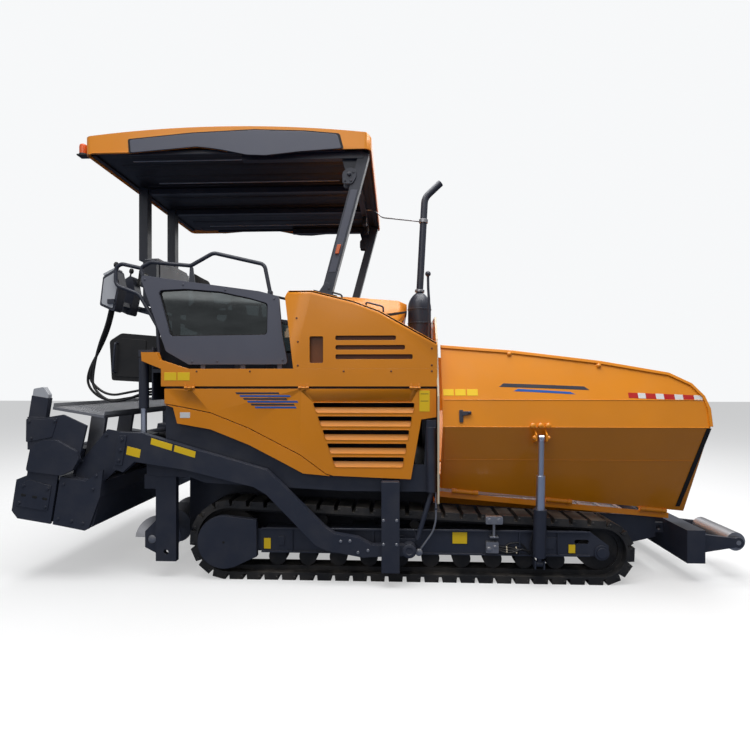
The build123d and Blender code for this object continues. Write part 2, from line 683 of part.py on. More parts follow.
# Body frame: dark side plates with the engine bay's opening, fenders and bulkheads
with BuildPart() as body_frame:
    slab(
        [
            (BODY_REAR, 960),
            (BODY_REAR, BAND_LOW),
            (BODY_FRONT, BAND_LOW),
            (BODY_FRONT, 780),
            (-300, 780),
            (-1500, 840),
        ],
        side(FRAME_OUT - PLATE),
        PLATE,
    )
    slab(BAY_OPENING, side(FRAME_OUT - PLATE - 1), PLATE + 2, radius=8, mode=Mode.SUBTRACT)
    right_block((FENDER_REAR, BODY_FRONT), (CHASSIS_OUT, FRAME_OUT - PLATE), (FENDER_Z - PLATE, FENDER_Z))
    right_block((BODY_FRONT - PLATE, BODY_FRONT), (-1, FRAME_OUT - PLATE), (FENDER_Z, BAND_TOP))
    mirror(about=Plane.XZ)
save(body_frame, "body_frame")

with BuildPart() as engine:
    block((-760, 330), (-450, 450), (FENDER_Z, 1640))
save(engine, "engine")

with BuildPart() as tanks:
    block((BODY_REAR, -850), (-FRAME_OUT + PLATE, FRAME_OUT - PLATE), (FENDER_Z, BAND_TOP - DECK_PLATE_THICKNESS))
save(tanks, "tanks")

# Orange band along each side, with its rising rear corner and the door's hinge ears
with BuildPart() as side_band:
    pan(
        [
            (-2045, 1965),
            (-1905, 1965),
            (-1885, 1900),
            (-1640, BAND_TOP),
            (BODY_FRONT, BAND_TOP),
            (BODY_FRONT, BAND_LOW),
            (BODY_REAR - 20, BAND_LOW),
            (BODY_REAR - 20, BAND_TOP),
            (-2040, 1890),
        ],
        side(FRAME_OUT),
        BODY_OUT - FRAME_OUT,
    )
    for x in DOOR_HINGES:
        for low in (x - 45, x + 23):
            bar((low, -DOOR_AXIS[0], DOOR_AXIS[1]), (low + 22, -DOOR_AXIS[0], DOOR_AXIS[1]), DOOR_KNUCKLE)
            right_block((low, low + 22), (BODY_OUT - 1, DOOR_AXIS[0]), (DOOR_AXIS[1], BAND_LOW + 20))
        bar((x - 45, -DOOR_AXIS[0], DOOR_AXIS[1]), (x + 45, -DOOR_AXIS[0], DOOR_AXIS[1]), DOOR_PIN)
    mirror(about=Plane.XZ)
save(side_band, "side_bands")

# Fixed swoosh below the door
with BuildPart() as fairing:
    pan(
        [(x, z - DOOR_GAP) for x, z in SWOOSH_TOP] + [(-415, 915)] + SWOOSH_LOW,
        side(FRAME_OUT),
        BODY_OUT - FRAME_OUT,
    )
    mirror(about=Plane.XZ)
save(fairing, "fairings")

# Side door: pressed pan with five broad louvres
with BuildPart() as door:
    pan(
        SWOOSH_TOP
        + [
            (-390, 918),
            (265, 893),
            (352, 1395),
            (BODY_FRONT - 7, 1415),
            (BODY_FRONT - 7, DOOR_TOP),
            (BODY_REAR + 10, DOOR_TOP),
        ],
        side(BODY_OUT - DOOR_DEPTH),
        DOOR_DEPTH,
    )
    top, bottom = LOUVRE_TOP, LOUVRE_BOTTOM
    for index in range(LOUVRE_COUNT):
        share = (index + 0.5) / LOUVRE_COUNT
        z = top[2] + (bottom[2] - top[2]) * share
        rear = top[0] + (bottom[0] - top[0]) * share + 45
        front = top[1] + (bottom[1] - top[1]) * share - 45
        slab(
            [(rear, z + 20), (front, z + 20), (front - 12, z - 20), (rear + 12, z - 20)],
            side(BODY_OUT - SHEET - 1),
            SHEET + 2,
            radius=12,
            mode=Mode.SUBTRACT,
        )
        face_out, back_out = BODY_OUT - SHEET + 1, BODY_OUT - 30
        blade = [(face_out, z + 18), (face_out, z + 28), (back_out, z - 24), (back_out, z - 34)]
        with BuildSketch(Plane.YZ.offset(rear)) as face:
            with BuildLine():
                Polyline(*[(-out, h) for out, h in blade], close=True)
            make_face()
        extrude(face.sketch, amount=front - rear)
    for x in DOOR_HINGES:
        right_block((x - 20, x + 20), (BODY_OUT - 5, DOOR_AXIS[0]), (DOOR_TOP - 20, DOOR_AXIS[1]))
        bar((x - 20, -DOOR_AXIS[0], DOOR_AXIS[1]), (x + 20, -DOOR_AXIS[0], DOOR_AXIS[1]), DOOR_KNUCKLE)
        ends = ((x - 60, -DOOR_AXIS[0], DOOR_AXIS[1]), (x + 60, -DOOR_AXIS[0], DOOR_AXIS[1]))
        bar(*ends, DOOR_PIN + PIN_FIT, Mode.SUBTRACT)
save_both(door, "door")

# Engine hood: side profile carried across the machine, hollow below
with BuildPart() as hood:
    profile = [
        (-730, BAND_TOP),
        (-800, 2430),
        (-770, 2490),
        (-575, 2490),
        (-220, 2400),
        (5, 2315),
        (BODY_FRONT, 2045),
        (BODY_FRONT, BAND_TOP),
    ]
    slab(profile, side(-BODY_OUT), 2 * BODY_OUT)
    side_edges = hood.edges().group_by(Axis.Y)[0] + hood.edges().group_by(Axis.Y)[-1]
    fillet(side_edges.filter_by(lambda edge: edge.center().Z > 2060 and edge.center().X > -740), HOOD_ROUND)
    crown = [(-560, 2300), (-560, 2470), (-300, 2462), (160, 2425), (235, 2390), (235, 2330), (120, 2200)]
    slab(crown, side(-HOOD_CROWN_HALF), 2 * HOOD_CROWN_HALF)
    with BuildSketch(side(-BODY_OUT + SHEET)) as inside:
        with BuildLine():
            Polyline(*profile, close=True)
        make_face()
        offset(amount=-SHEET, kind=Kind.INTERSECTION, mode=Mode.REPLACE)
    extrude(inside.sketch, amount=2 * (BODY_OUT - SHEET), mode=Mode.SUBTRACT)
    block(
        (-730 + SHEET, BODY_FRONT - SHEET),
        (-BODY_OUT + SHEET, BODY_OUT - SHEET),
        (BAND_TOP - 1, BAND_TOP + 40),
        Mode.SUBTRACT,
    )
save(hood, "hood")

# Operator's platform
with BuildPart() as platform:
    block((DECK_REAR_EDGE, DECK_FRONT_EDGE + 60), (-DECK_HALF, DECK_HALF), (BAND_TOP - DECK_PLATE_THICKNESS, BAND_TOP))
    block((DECK_REAR_EDGE, DECK_REAR_EDGE + PLATE), (-DECK_HALF, DECK_HALF), (BAND_LOW - 120, 2010))
    # Ears that the lift cylinders hang from
    x, out, z = LIFT_TOP
    for offset_y in (-EYE_WIDTH / 2 - EYE_SIDE_GAP - EAR_PLATE, EYE_WIDTH / 2 + EYE_SIDE_GAP):
        slab(
            [(x - 28, z + 28), (x - 28, z - 30), (DECK_REAR_EDGE + 1, z - 30), (DECK_REAR_EDGE + 1, z + 28)],
            side(out + offset_y),
            EAR_PLATE,
        )
    disc(side(out - EYE_WIDTH / 2 - EYE_SIDE_GAP - 1), (x, z), EYE_PIN, EYE_WIDTH + 2 * EYE_SIDE_GAP + 2)
    mirror(about=Plane.XZ)
save(platform, "platform")

# Side screen: a dark frame with one large window, and a handrail over it
SCREEN_OUTLINE = [
    (-2085, 2640),
    (-1675, 2580),
    (-1035, 2490),
    (-865, 2445),
    (-835, 2105),
    (-785, 1860),
    (-1650, 1860),
    (-1850, 1975),
]
WINDOW_OUTLINE = [
    (-1920, 2505),
    (-1675, 2515),
    (-1380, 2490),
    (-1110, 2430),
    (-960, 2385),
    (-965, 2115),
    (-1815, 2105),
]
with BuildPart() as side_screen:
    slab(SCREEN_OUTLINE, side(SCREEN_OUT - SCREEN_FRAME), SCREEN_FRAME, radius=30)
    slab(WINDOW_OUTLINE, side(SCREEN_OUT - SCREEN_FRAME - 1), SCREEN_FRAME + 2, radius=30, mode=Mode.SUBTRACT)
    for x in (-1550, -1200, -880):
        right_block((x, x + 40), (SCREEN_OUT - SCREEN_FRAME, SCREEN_OUT - 12), (BAND_TOP, 1870))
    mirror(about=Plane.XZ)
save(side_screen, "side_screens")

with BuildPart() as screen_glass:
    with BuildSketch(side(SCREEN_OUT - SCREEN_FRAME - GLASS)) as pane:
        with BuildLine():
            FilletPolyline(*WINDOW_OUTLINE, radius=30, close=True)
        make_face()
        offset(amount=15)
    extrude(pane.sketch, amount=GLASS)
    mirror(about=Plane.XZ)
save(screen_glass, "screen_glass")

RAIL_OUT = SCREEN_OUT - SCREEN_FRAME - RAIL_R - SEAT_GAP
with BuildPart() as handrails:
    pipe(
        [right((x, RAIL_OUT, z)) for x, z in (
            (-2065, 2560), (-2095, 2715), (-2005, 2760), (-1650, 2725), (-1450, 2835), (-1000, 2730), (-945, 2460)
        )],
        [40, 50, 60, 80, 60],
        RAIL_R,
    )
    pipe(
        [right((x, RAIL_OUT, z)) for x, z in (
            (-1930, 1890), (-1945, 2195), (-2110, 2480), (-2320, 2560), (-2320, 2760), (-2085, 2705)
        )],
        [90, 90, 60, 60],
        RAIL_R,
    )
    mirror(about=Plane.XZ)
save(handrails, "handrails")

# Two operator's consoles that stand out behind the platform, and the pedestal panel between the seats
with BuildPart() as consoles:
    for out in (700, 960):
        slab(
            [(-2450, 2640), (-2330, 2715), (-2300, 2560), (-2350, 2330), (-2480, 2390)],
            side(out),
            120,
            radius=20,
        )
    block((-2440, -2300), (-400, 400), (2500, 2960))
    block((-2400, -2340), (-1100, 1100), (2400, 2440))
    right_block((-2380, DECK_REAR_EDGE), (560, 620), (2395, 2435))
    right_block((DECK_REAR_EDGE - 60, DECK_REAR_EDGE), (560, 620), (1830, 2435))
    right_block((-1700, -1380), (420, 740), (BAND_TOP, 2180))
    mirror(about=Plane.XZ)
save(consoles, "consoles")

with BuildPart() as seats:
    slab(
        [(-1780, 2180), (-1300, 2180), (-1290, 2270), (-1640, 2290), (-1730, 2760), (-1840, 2740)],
        side(345),
        470,
        radius=35,
    )
    mirror(about=Plane.XZ)
save(seats, "seats")

# Canopy: curved shell roof on four posts, dark side shields and a ribbed lining
with BuildPart() as canopy_roof:
    with BuildSketch(side(-CANOPY_HALF)) as arch:
        with BuildLine():
            crest = ThreePointArc((CANOPY_REAR, 3840), ((CANOPY_REAR + CANOPY_FRONT) / 2, CANOPY_CREST), (-110, 3830))
            Polyline(crest @ 0, (CANOPY_REAR, CANOPY_LOW), (CANOPY_FRONT, CANOPY_LOW), (CANOPY_FRONT, 3800), crest @ 1)
        make_face()
    extrude(arch.sketch, amount=2 * CANOPY_HALF)
    fillet(canopy_roof.edges().filter_by(Axis.Z), CANOPY_CORNER)
    offset(amount=-CANOPY_SHELL, openings=canopy_roof.faces().sort_by(Axis.Z)[0])
save(canopy_roof, "canopy_roof")

with BuildPart() as canopy_lining:
    inner_half = CANOPY_HALF - CANOPY_SHELL
    block(
        (CANOPY_REAR + CANOPY_SHELL, CANOPY_FRONT - CANOPY_SHELL),
        (-inner_half, inner_half),
        (CANOPY_LOW + 30, CANOPY_LOW + 38),
    )
    fillet(canopy_lining.edges().filter_by(Axis.Z), CANOPY_CORNER - CANOPY_SHELL)
    rib = CANOPY_REAR + 220
    while rib < CANOPY_FRONT - 150:
        block((rib, rib + 60), (-CANOPY_RIB_HALF, CANOPY_RIB_HALF), (CANOPY_FRAME_TOP, CANOPY_LOW + 31))
        rib += 300
save(canopy_lining, "canopy_lining")

with BuildPart() as canopy_shield:
    slab(
        [(-2230, 3690), (-2210, 3640), (-1500, 3600), (-1000, 3618), (-275, 3600), (-275, 3690)],
        side(CANOPY_HALF - 40),
        8,
        radius=15,
    )
    right_block((-2200, -300), (CANOPY_HALF - 60, CANOPY_HALF - 31), (CANOPY_LOW, CANOPY_LOW + 30))
    mirror(about=Plane.XZ)
save(canopy_shield, "canopy_shields")

with BuildPart() as canopy_posts:
    with BuildSketch(Plane(origin=(-482, -POST_OUT, 2400), z_dir=(270, 0, 1000))) as foot_section:
        Rectangle(POST, POST)
    extrude(foot_section.sketch, amount=1340)
    foot = [(x, 2490 - (x + 575) * (90 / 355)) for x in (-565, -365)]
    slab([foot[0], foot[1], (-365, 2300), (-565, 2300)], side(POST_OUT - 100), 200, mode=Mode.SUBTRACT)
    slab([foot[0], foot[1], (foot[1][0], foot[1][1] + PLATE), (foot[0][0], foot[0][1] + PLATE)],
         side(POST_OUT - 50), 150)
    block((-1200, -140), (-1100, -1040), (3640, CANOPY_FRAME_TOP))
    block((-2500, -2410), (-365, -275), (2960, CANOPY_FRAME_TOP))
    block((-2500, -200), (-340, -290), (3650, CANOPY_FRAME_TOP))
    mirror(about=Plane.XZ)
    block((-260, -200), (-1100, 1100), (3650, CANOPY_FRAME_TOP))
save(canopy_posts, "canopy_posts")

# Exhaust: bell shroud, leaning stack and swept outlet
with BuildPart() as exhaust:
    with BuildSketch(Plane.XZ.offset(EXHAUST_OUT)) as bell:
        with BuildLine():
            Polyline((EXHAUST_X, 2020), (EXHAUST_X + 110, 2020), (EXHAUST_X + 110, 2400))
            ThreePointArc((EXHAUST_X + 110, 2400), (EXHAUST_X + 88, 2500), (EXHAUST_X + 34, 2560))
            Polyline((EXHAUST_X + 34, 2560), (EXHAUST_X, 2560), (EXHAUST_X, 2020))
        make_face()
    revolve(bell.sketch, axis=Axis((EXHAUST_X, -EXHAUST_OUT, 0), (0, 0, 1)))
    slope = [(x, 2315 - (x - 5) * (270 / 480)) for x in (205, 525)]
    slab([*slope, (525, 1900), (205, 1900)], side(EXHAUST_OUT - 150), 300, mode=Mode.SUBTRACT)
    pipe(
        [right((x, EXHAUST_OUT, z)) for x, z in ((EXHAUST_X, 2540), (EXHAUST_X + 50, 3470), (EXHAUST_X + 200, 3610))],
        [130],
        33,
    )
save(exhaust, "exhaust")

# Tow guide: two plates that the tow point slides between, and its cylinder
with BuildPart() as tow_guide:
    right_block((GUIDE_REAR, GUIDE_FRONT), (GUIDE_OUT - END_PLATE, GUIDE_OUT), (GUIDE_LOW, GUIDE_TOP))
    right_block((GUIDE_REAR, GUIDE_FRONT), (FRAME_OUT, FRAME_OUT + PLATE), (GUIDE_LOW, GUIDE_TOP))
    right_block((GUIDE_REAR, GUIDE_FRONT), (FRAME_OUT, GUIDE_OUT), (GUIDE_TOP - 60, GUIDE_TOP))
    right_block((GUIDE_REAR, GUIDE_FRONT), (FRAME_OUT, GUIDE_OUT), (GUIDE_LOW, GUIDE_LOW + 30))
    # Tow block with the pin that the arm turns on
    right_block((GUIDE_FRONT - 1, TOW_X + 50), (FRAME_OUT, FRAME_OUT + PLATE), (TOW_Z - 55, TOW_Z + 75))
    disc(side(FRAME_OUT + PLATE), (TOW_X, TOW_Z), TOW_PIN, ARM_WIDTH + ARM_INNER - FRAME_OUT)
    disc(side(ARM_INNER + ARM_WIDTH + 3), (TOW_X, TOW_Z), 48, 14)
    mirror(about=Plane.XZ)
save(tow_guide, "tow_guides")

with BuildPart() as tow_cylinder:
    out = FRAME_OUT + 44
    bar((430, -out, 1330), (440, -out, 790), 42)
    bar((440, -out, 791), (320, -out, 390), 20)
    right_block((395, 475), (FRAME_OUT, out + 15), (1300, 1390))
    mirror(about=Plane.XZ)
save(tow_cylinder, "tow_cylinders")

# Auger frame: crossbeam behind the tunnel, centre drive case and end columns
with BuildPart() as auger_frame:
    block((AUGER_BEAM_REAR, BODY_REAR), (-FRAME_OUT + PLATE, FRAME_OUT - PLATE), (FENDER_Z, FENDER_Z + 120))
    right_block((FENDER_REAR, -1770), (1075, 1130), (150, FENDER_Z - PLATE))
    right_block((-2050, FENDER_REAR), (1075, 1130), (780, FENDER_Z + 1))
    disc(side(1074), (-1860, 230), LUG_HOLE, 57, Mode.SUBTRACT)
    slab(
        [(-1940, 520), (-2060, 400), (-2060, 260), (-1940, 200)],
        side(1075),
        25,
    )
    disc(side(1070), (AUGER_X, AUGER_Z), AUGER_SHAFT + PIN_FIT, 40, Mode.SUBTRACT)
    mirror(about=Plane.XZ)
    block((-2050, FENDER_REAR), (-AUGER_CASE, AUGER_CASE), (260, FENDER_Z + 1))
    disc(side(-AUGER_CASE - 1), (AUGER_X, AUGER_Z), AUGER_SHAFT + PIN_FIT, 2 * AUGER_CASE + 2, Mode.SUBTRACT)
save(auger_frame, "auger_frame")

# Auger: a shaft with its flight built up from quarter-turn blades
with BuildPart() as auger:
    disc(side(5), (AUGER_X, AUGER_Z), AUGER_SHAFT, 1095 - 5)
    blade_span = AUGER_PITCH / 4
    tilt = degrees(atan2(AUGER_PITCH, 2 * pi * AUGER_R))
    count = int((AUGER_OUTER - AUGER_INNER - blade_span) / blade_span)
    for index in range(count):
        out = AUGER_INNER + blade_span * (index + 0.5)
        turn = radians(90 * index)
        radial = Vector(cos(turn), 0, sin(turn))
        across = Vector(-sin(turn), 0, cos(turn))
        normal = Vector(0, -1, 0) * cos(radians(tilt)) + across * sin(radians(tilt))
        with BuildSketch(Plane(origin=(AUGER_X, -out, AUGER_Z), x_dir=radial, z_dir=normal)) as blade:
            with BuildLine():
                outer = CenterArc((0, 0), AUGER_R, -47, 94)
                Line(outer @ 1, (0, 0))
                Line((0, 0), outer @ 0)
            make_face()
        extrude(blade.sketch, amount=FLIGHT / 2, both=True)
save_both(auger, "auger")

# Main screed: heated box, end plates, arm brackets and the blocks that the extension tubes slide in
with BuildPart() as screed:
    slab(
        [
            (MAIN_REAR, 0),
            (MAIN_FRONT - 60, 0),
            (MAIN_FRONT, 40),
            (MAIN_FRONT + 25, 300),
            (MAIN_FRONT, SCREED_TOP),
            (MAIN_REAR, SCREED_TOP),
        ],
        screed_side(-SCREED_HALF),
        2 * SCREED_HALF,
    )
    for flip in (False, True):
        near = SCREED_HALF if not flip else -SCREED_HALF - END_PLATE
        slab(
            [
                (MAIN_REAR, SCREED_TOP),
                (-2555, SCREED_TOP - 5),
                (-2420, 540),
                (-2410, 305),
                (-2465, 20),
                (-2495, 0),
                (MAIN_REAR, 5),
            ],
            screed_side(near),
            END_PLATE,
        )
        near = ARM_INNER - END_PLATE if not flip else -ARM_INNER
        slab(
            [
                (-2690, SCREED_TOP - 1),
                (-2690, 520),
                (-2480, 870),
                (-2300, 870),
                (-2300, 600),
                (MAIN_FRONT, SCREED_TOP - 1),
            ],
            screed_side(near),
            END_PLATE,
        )
        for low, high in ((SCREED_HALF - 280, SCREED_HALF - 130), (150, 300)):
            near = low if not flip else -high
            slab(
                [(-3040, 475), (-3040, 655), (-2700, 655), (-2700, 419), (-2765, 419), (-2765, 475)],
                screed_side(near),
                high - low,
            )
            for x in TUBE_X.values():
                disc(screed_side(near - 1), (x, TUBE_Z), TUBE_R + PIN_FIT, high - low + 2, Mode.SUBTRACT)
save(screed, "screed")

with BuildPart() as screed_walkway:
    walk_half = SCREED_HALF - 30
    slab([(-2970, 965), (-2970, 990), (-2510, 990), (-2510, 965)], screed_side(-walk_half), 2 * walk_half)
    for near in (600, -640, walk_half - 150, -walk_half + 110):
        slab([(-2690, SCREED_TOP), (-2690, 966), (-2560, 966), (-2560, SCREED_TOP)], screed_side(near), 40)
save(screed_walkway, "screed_walkway")

# Tow arms: cranked box arms from the tow points to the screed
ARM_OUTLINE = [
    (-2340, 875),
    (-2140, 900),
    (-1630, 835),
    (-1040, 770),
    (-925, 695),
    (-470, 375),
    (-385, 340),
    (-190, 340),
    (-60, 300),
    (TOW_X, TOW_Z + 45),
    (TOW_X, TOW_Z - 45),
    (-60, 200),
    (-115, 185),
    (-440, 190),
    (-535, 220),
    (-895, 485),
    (-1005, 565),
    (-1120, 610),
    (-1735, 655),
    (-2165, 650),
    (-2250, 545),
    (-2340, 560),
]
with BuildPart() as tow_arm:
    slab(ARM_OUTLINE, screed_side(ARM_INNER), ARM_WIDTH)
    disc(screed_side(ARM_INNER), (TOW_X, TOW_Z), 60, ARM_WIDTH)
    disc(screed_side(ARM_INNER - 1), (TOW_X, TOW_Z), TOW_PIN + PIN_FIT, ARM_WIDTH + 2, Mode.SUBTRACT)
    # Fork for the lift cylinder's eye
    x, out, z = LIFT_EYE
    for low in (out - EYE_WIDTH / 2 - EYE_SIDE_GAP - EAR_PLATE, out + EYE_WIDTH / 2 + EYE_SIDE_GAP):
        slab([(x - 60, z - 95), (x + 60, z - 95), (x + 35, z + 25), (x - 35, z + 25)], side(low), EAR_PLATE)
    slab(
        [(x - 60, z - 95), (x + 60, z - 95), (x + 55, z - 55), (x - 55, z - 55)],
        side(out - EYE_WIDTH / 2 - EYE_SIDE_GAP - 1),
        ARM_INNER + 1 - out + EYE_WIDTH / 2 + EYE_SIDE_GAP,
    )
    mirror(about=Plane.XZ)
save(tow_arm, "tow_arms")

# Hydraulic screed extensions behind the main screed, each on its own tube
for name, tube_x in TUBE_X.items():
    with BuildPart() as extension:
        slab(
            [
                (EXTENSION_REAR, 60),
                (EXTENSION_REAR + 55, 0),
                (EXTENSION_FRONT - 30, 0),
                (EXTENSION_FRONT, 40),
                (EXTENSION_FRONT, EXTENSION_TOP),
                (EXTENSION_REAR, 330),
            ],
            screed_side(12),
            SCREED_HALF - 12,
        )
        slab(
            [
                (EXTENSION_REAR - 5, 60),
                (EXTENSION_REAR + 55, 3),
                (EXTENSION_FRONT, 5),
                (EXTENSION_FRONT, EXTENSION_TOP + 60),
                (-3070, 440),
                (-3070, EXTENSION_TOP),
                (EXTENSION_REAR - 5, 330),
            ],
            screed_side(SCREED_HALF),
            END_PLATE,
        )
        slab(
            [(-3070, 420), (-2760, 435), (-2665, 500), (-2630, 595), (-2660, 660), (-2850, 725), (-2965, 705), (-3060, 645)],
            screed_side(SCREED_HALF),
            GUIDE_OUT - SCREED_HALF,
            radius=25,
        )
        slab(
            [(-3100, 600), (-3145, 875), (-2990, 895), (-2840, 945), (-2620, 885), (-2640, 620)],
            screed_side(SCREED_HALF),
            END_PLATE,
        )
        disc(screed_side(-TUBE_REACH), (tube_x, TUBE_Z), TUBE_R, TUBE_REACH + SCREED_HALF + 1)
        slab([(-3150, 870), (-3150, 1060), (-3000, 1060), (-3000, 870)], screed_side(SCREED_HALF - 50), 50)
        if name == "left":
            mirror(about=Plane.XZ, mode=Mode.REPLACE)
    save(extension, f"extension_{name}")

# Lift cylinders: barrel hung from the platform, rod down to the tow arm
top, eye = right(LIFT_TOP), right(LIFT_EYE)


def long_eye(centre):
    """Eye at the cylinder's end with its pin lying along Y."""
    disc(side(-centre[1] - EYE_WIDTH / 2), (centre[0], centre[2]), EYE_R, EYE_WIDTH)


with BuildPart() as lift_barrel:
    bar(along(top, eye, 15), along(top, eye, 45), 22)
    bar(along(top, eye, 40), along(top, eye, LIFT_MOUTH), LIFT_BARREL)
    bar(along(top, eye, 48), along(top, eye, LIFT_MOUTH), LIFT_ROD + PIN_FIT, Mode.SUBTRACT)
    long_eye(top)
    disc(side(LIFT_TOP[1] - EYE_WIDTH), (LIFT_TOP[0], LIFT_TOP[2]), EYE_PIN + PIN_FIT, 2 * EYE_WIDTH, Mode.SUBTRACT)
save_both(lift_barrel, "lift_barrel")

with BuildPart() as lift_rod:
    length = (Vector(*eye) - Vector(*top)).length
    bar(along(top, eye, length - LIFT_ROD_LENGTH), along(top, eye, length - EYE_R / 2), LIFT_ROD)
    long_eye(eye)
save_both(lift_rod, "lift_rod")

# Beacon and work lamps on the canopy
with BuildPart() as lamps:
    block((CANOPY_REAR - 90, CANOPY_REAR), (-1130, -1050), (3700, 3712))
    with Locations((CANOPY_REAR - 50, -1090, 3712)):
        Cylinder(35, 100, align=(Align.CENTER, Align.CENTER, Align.MIN))
    for out in (850, 500):
        right_block((-255, -205), (out - 60, out + 60), (3560, 3650))
        block((-255, -205), (out - 60, out + 60), (3560, 3650))
save(lamps, "lamps")
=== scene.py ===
"""Looks of a tracked asphalt paver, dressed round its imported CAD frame.

The scene is in metres and the forms are drawn in millimetres: X forward to the hopper, Y to the
left, Z up, the ground at Z 0. Right-hand pieces are drawn once and mirrored to the left.
"""

import json
import logging
import math
from dataclasses import dataclass, field
from enum import Enum
from typing import Iterable, Sequence

import bmesh
import bpy
from mathutils import Matrix, Vector
from mathutils.bvhtree import BVHTree

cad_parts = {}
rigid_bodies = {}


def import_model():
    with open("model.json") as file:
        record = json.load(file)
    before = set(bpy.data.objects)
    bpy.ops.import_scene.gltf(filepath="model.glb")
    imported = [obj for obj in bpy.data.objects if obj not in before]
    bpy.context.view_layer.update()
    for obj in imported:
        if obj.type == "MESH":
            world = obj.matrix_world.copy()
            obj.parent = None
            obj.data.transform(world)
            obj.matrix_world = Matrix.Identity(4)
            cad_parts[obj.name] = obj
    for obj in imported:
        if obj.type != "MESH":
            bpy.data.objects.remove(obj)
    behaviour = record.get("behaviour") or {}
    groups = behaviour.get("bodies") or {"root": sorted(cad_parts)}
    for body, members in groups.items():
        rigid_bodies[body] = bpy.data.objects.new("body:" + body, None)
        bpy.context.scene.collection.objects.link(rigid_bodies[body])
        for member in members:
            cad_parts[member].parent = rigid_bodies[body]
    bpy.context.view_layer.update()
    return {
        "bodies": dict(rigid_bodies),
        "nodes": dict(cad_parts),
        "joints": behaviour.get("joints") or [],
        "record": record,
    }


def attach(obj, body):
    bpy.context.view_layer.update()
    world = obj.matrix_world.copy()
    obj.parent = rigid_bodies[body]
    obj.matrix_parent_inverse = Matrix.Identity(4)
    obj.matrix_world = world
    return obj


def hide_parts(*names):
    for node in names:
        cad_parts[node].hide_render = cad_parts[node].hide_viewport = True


LOG = logging.getLogger("paver")
Point = Sequence[float]
MM = 0.001
SCREED_LIFT = math.radians(9.2)
TOW_POINT = (250, 310)
CORNER_STEPS = 6
SOFT_STEPS = 4
BEVEL_SAMPLES = 4
SHARP_CORNER = math.radians(35)
WASHER = (16, 1.45, 0.25)
OUTWARD = (0, -1, 0)
UP = (0, 0, 1)


class Side(Enum):
    """The two sides of the machine, with the sign of Y on each."""

    RIGHT = -1
    LEFT = 1

    @property
    def word(self) -> str:
        """Name used in pieces and bodies."""
        return self.name.lower()


# ---------------------------------------------------------------- shader maths


class Value:
    """A socket that can be used in arithmetic, adding Math nodes as it goes."""

    def __init__(self, shader: "Shader", socket: bpy.types.NodeSocket) -> None:
        """Wrap a socket.

        Args:
            shader: The material the socket belongs to.
            socket: An output socket.
        """
        self.shader = shader
        self.socket = socket

    def _math(self, operation: str, *others: "float | Value") -> "Value":
        """Return the result of a Math node on this value and others."""
        return self.shader.math(operation, self, *others)

    def __add__(self, other: "float | Value") -> "Value":
        """Return the sum."""
        return self._math("ADD", other)

    def __sub__(self, other: "float | Value") -> "Value":
        """Return the difference."""
        return self._math("SUBTRACT", other)

    def __rsub__(self, other: float) -> "Value":
        """Return other minus this value."""
        return self.shader.math("SUBTRACT", other, self)

    def __mul__(self, other: "float | Value") -> "Value":
        """Return the product."""
        return self._math("MULTIPLY", other)

    def over(self, limit: float, width: float) -> "Value":
        """Return 0 below limit, rising smoothly to 1 over the given width."""
        ramp = (self - limit) * (1.0 / width)
        return self.shader.math("MINIMUM", self.shader.math("MAXIMUM", ramp, 0.0), 1.0)


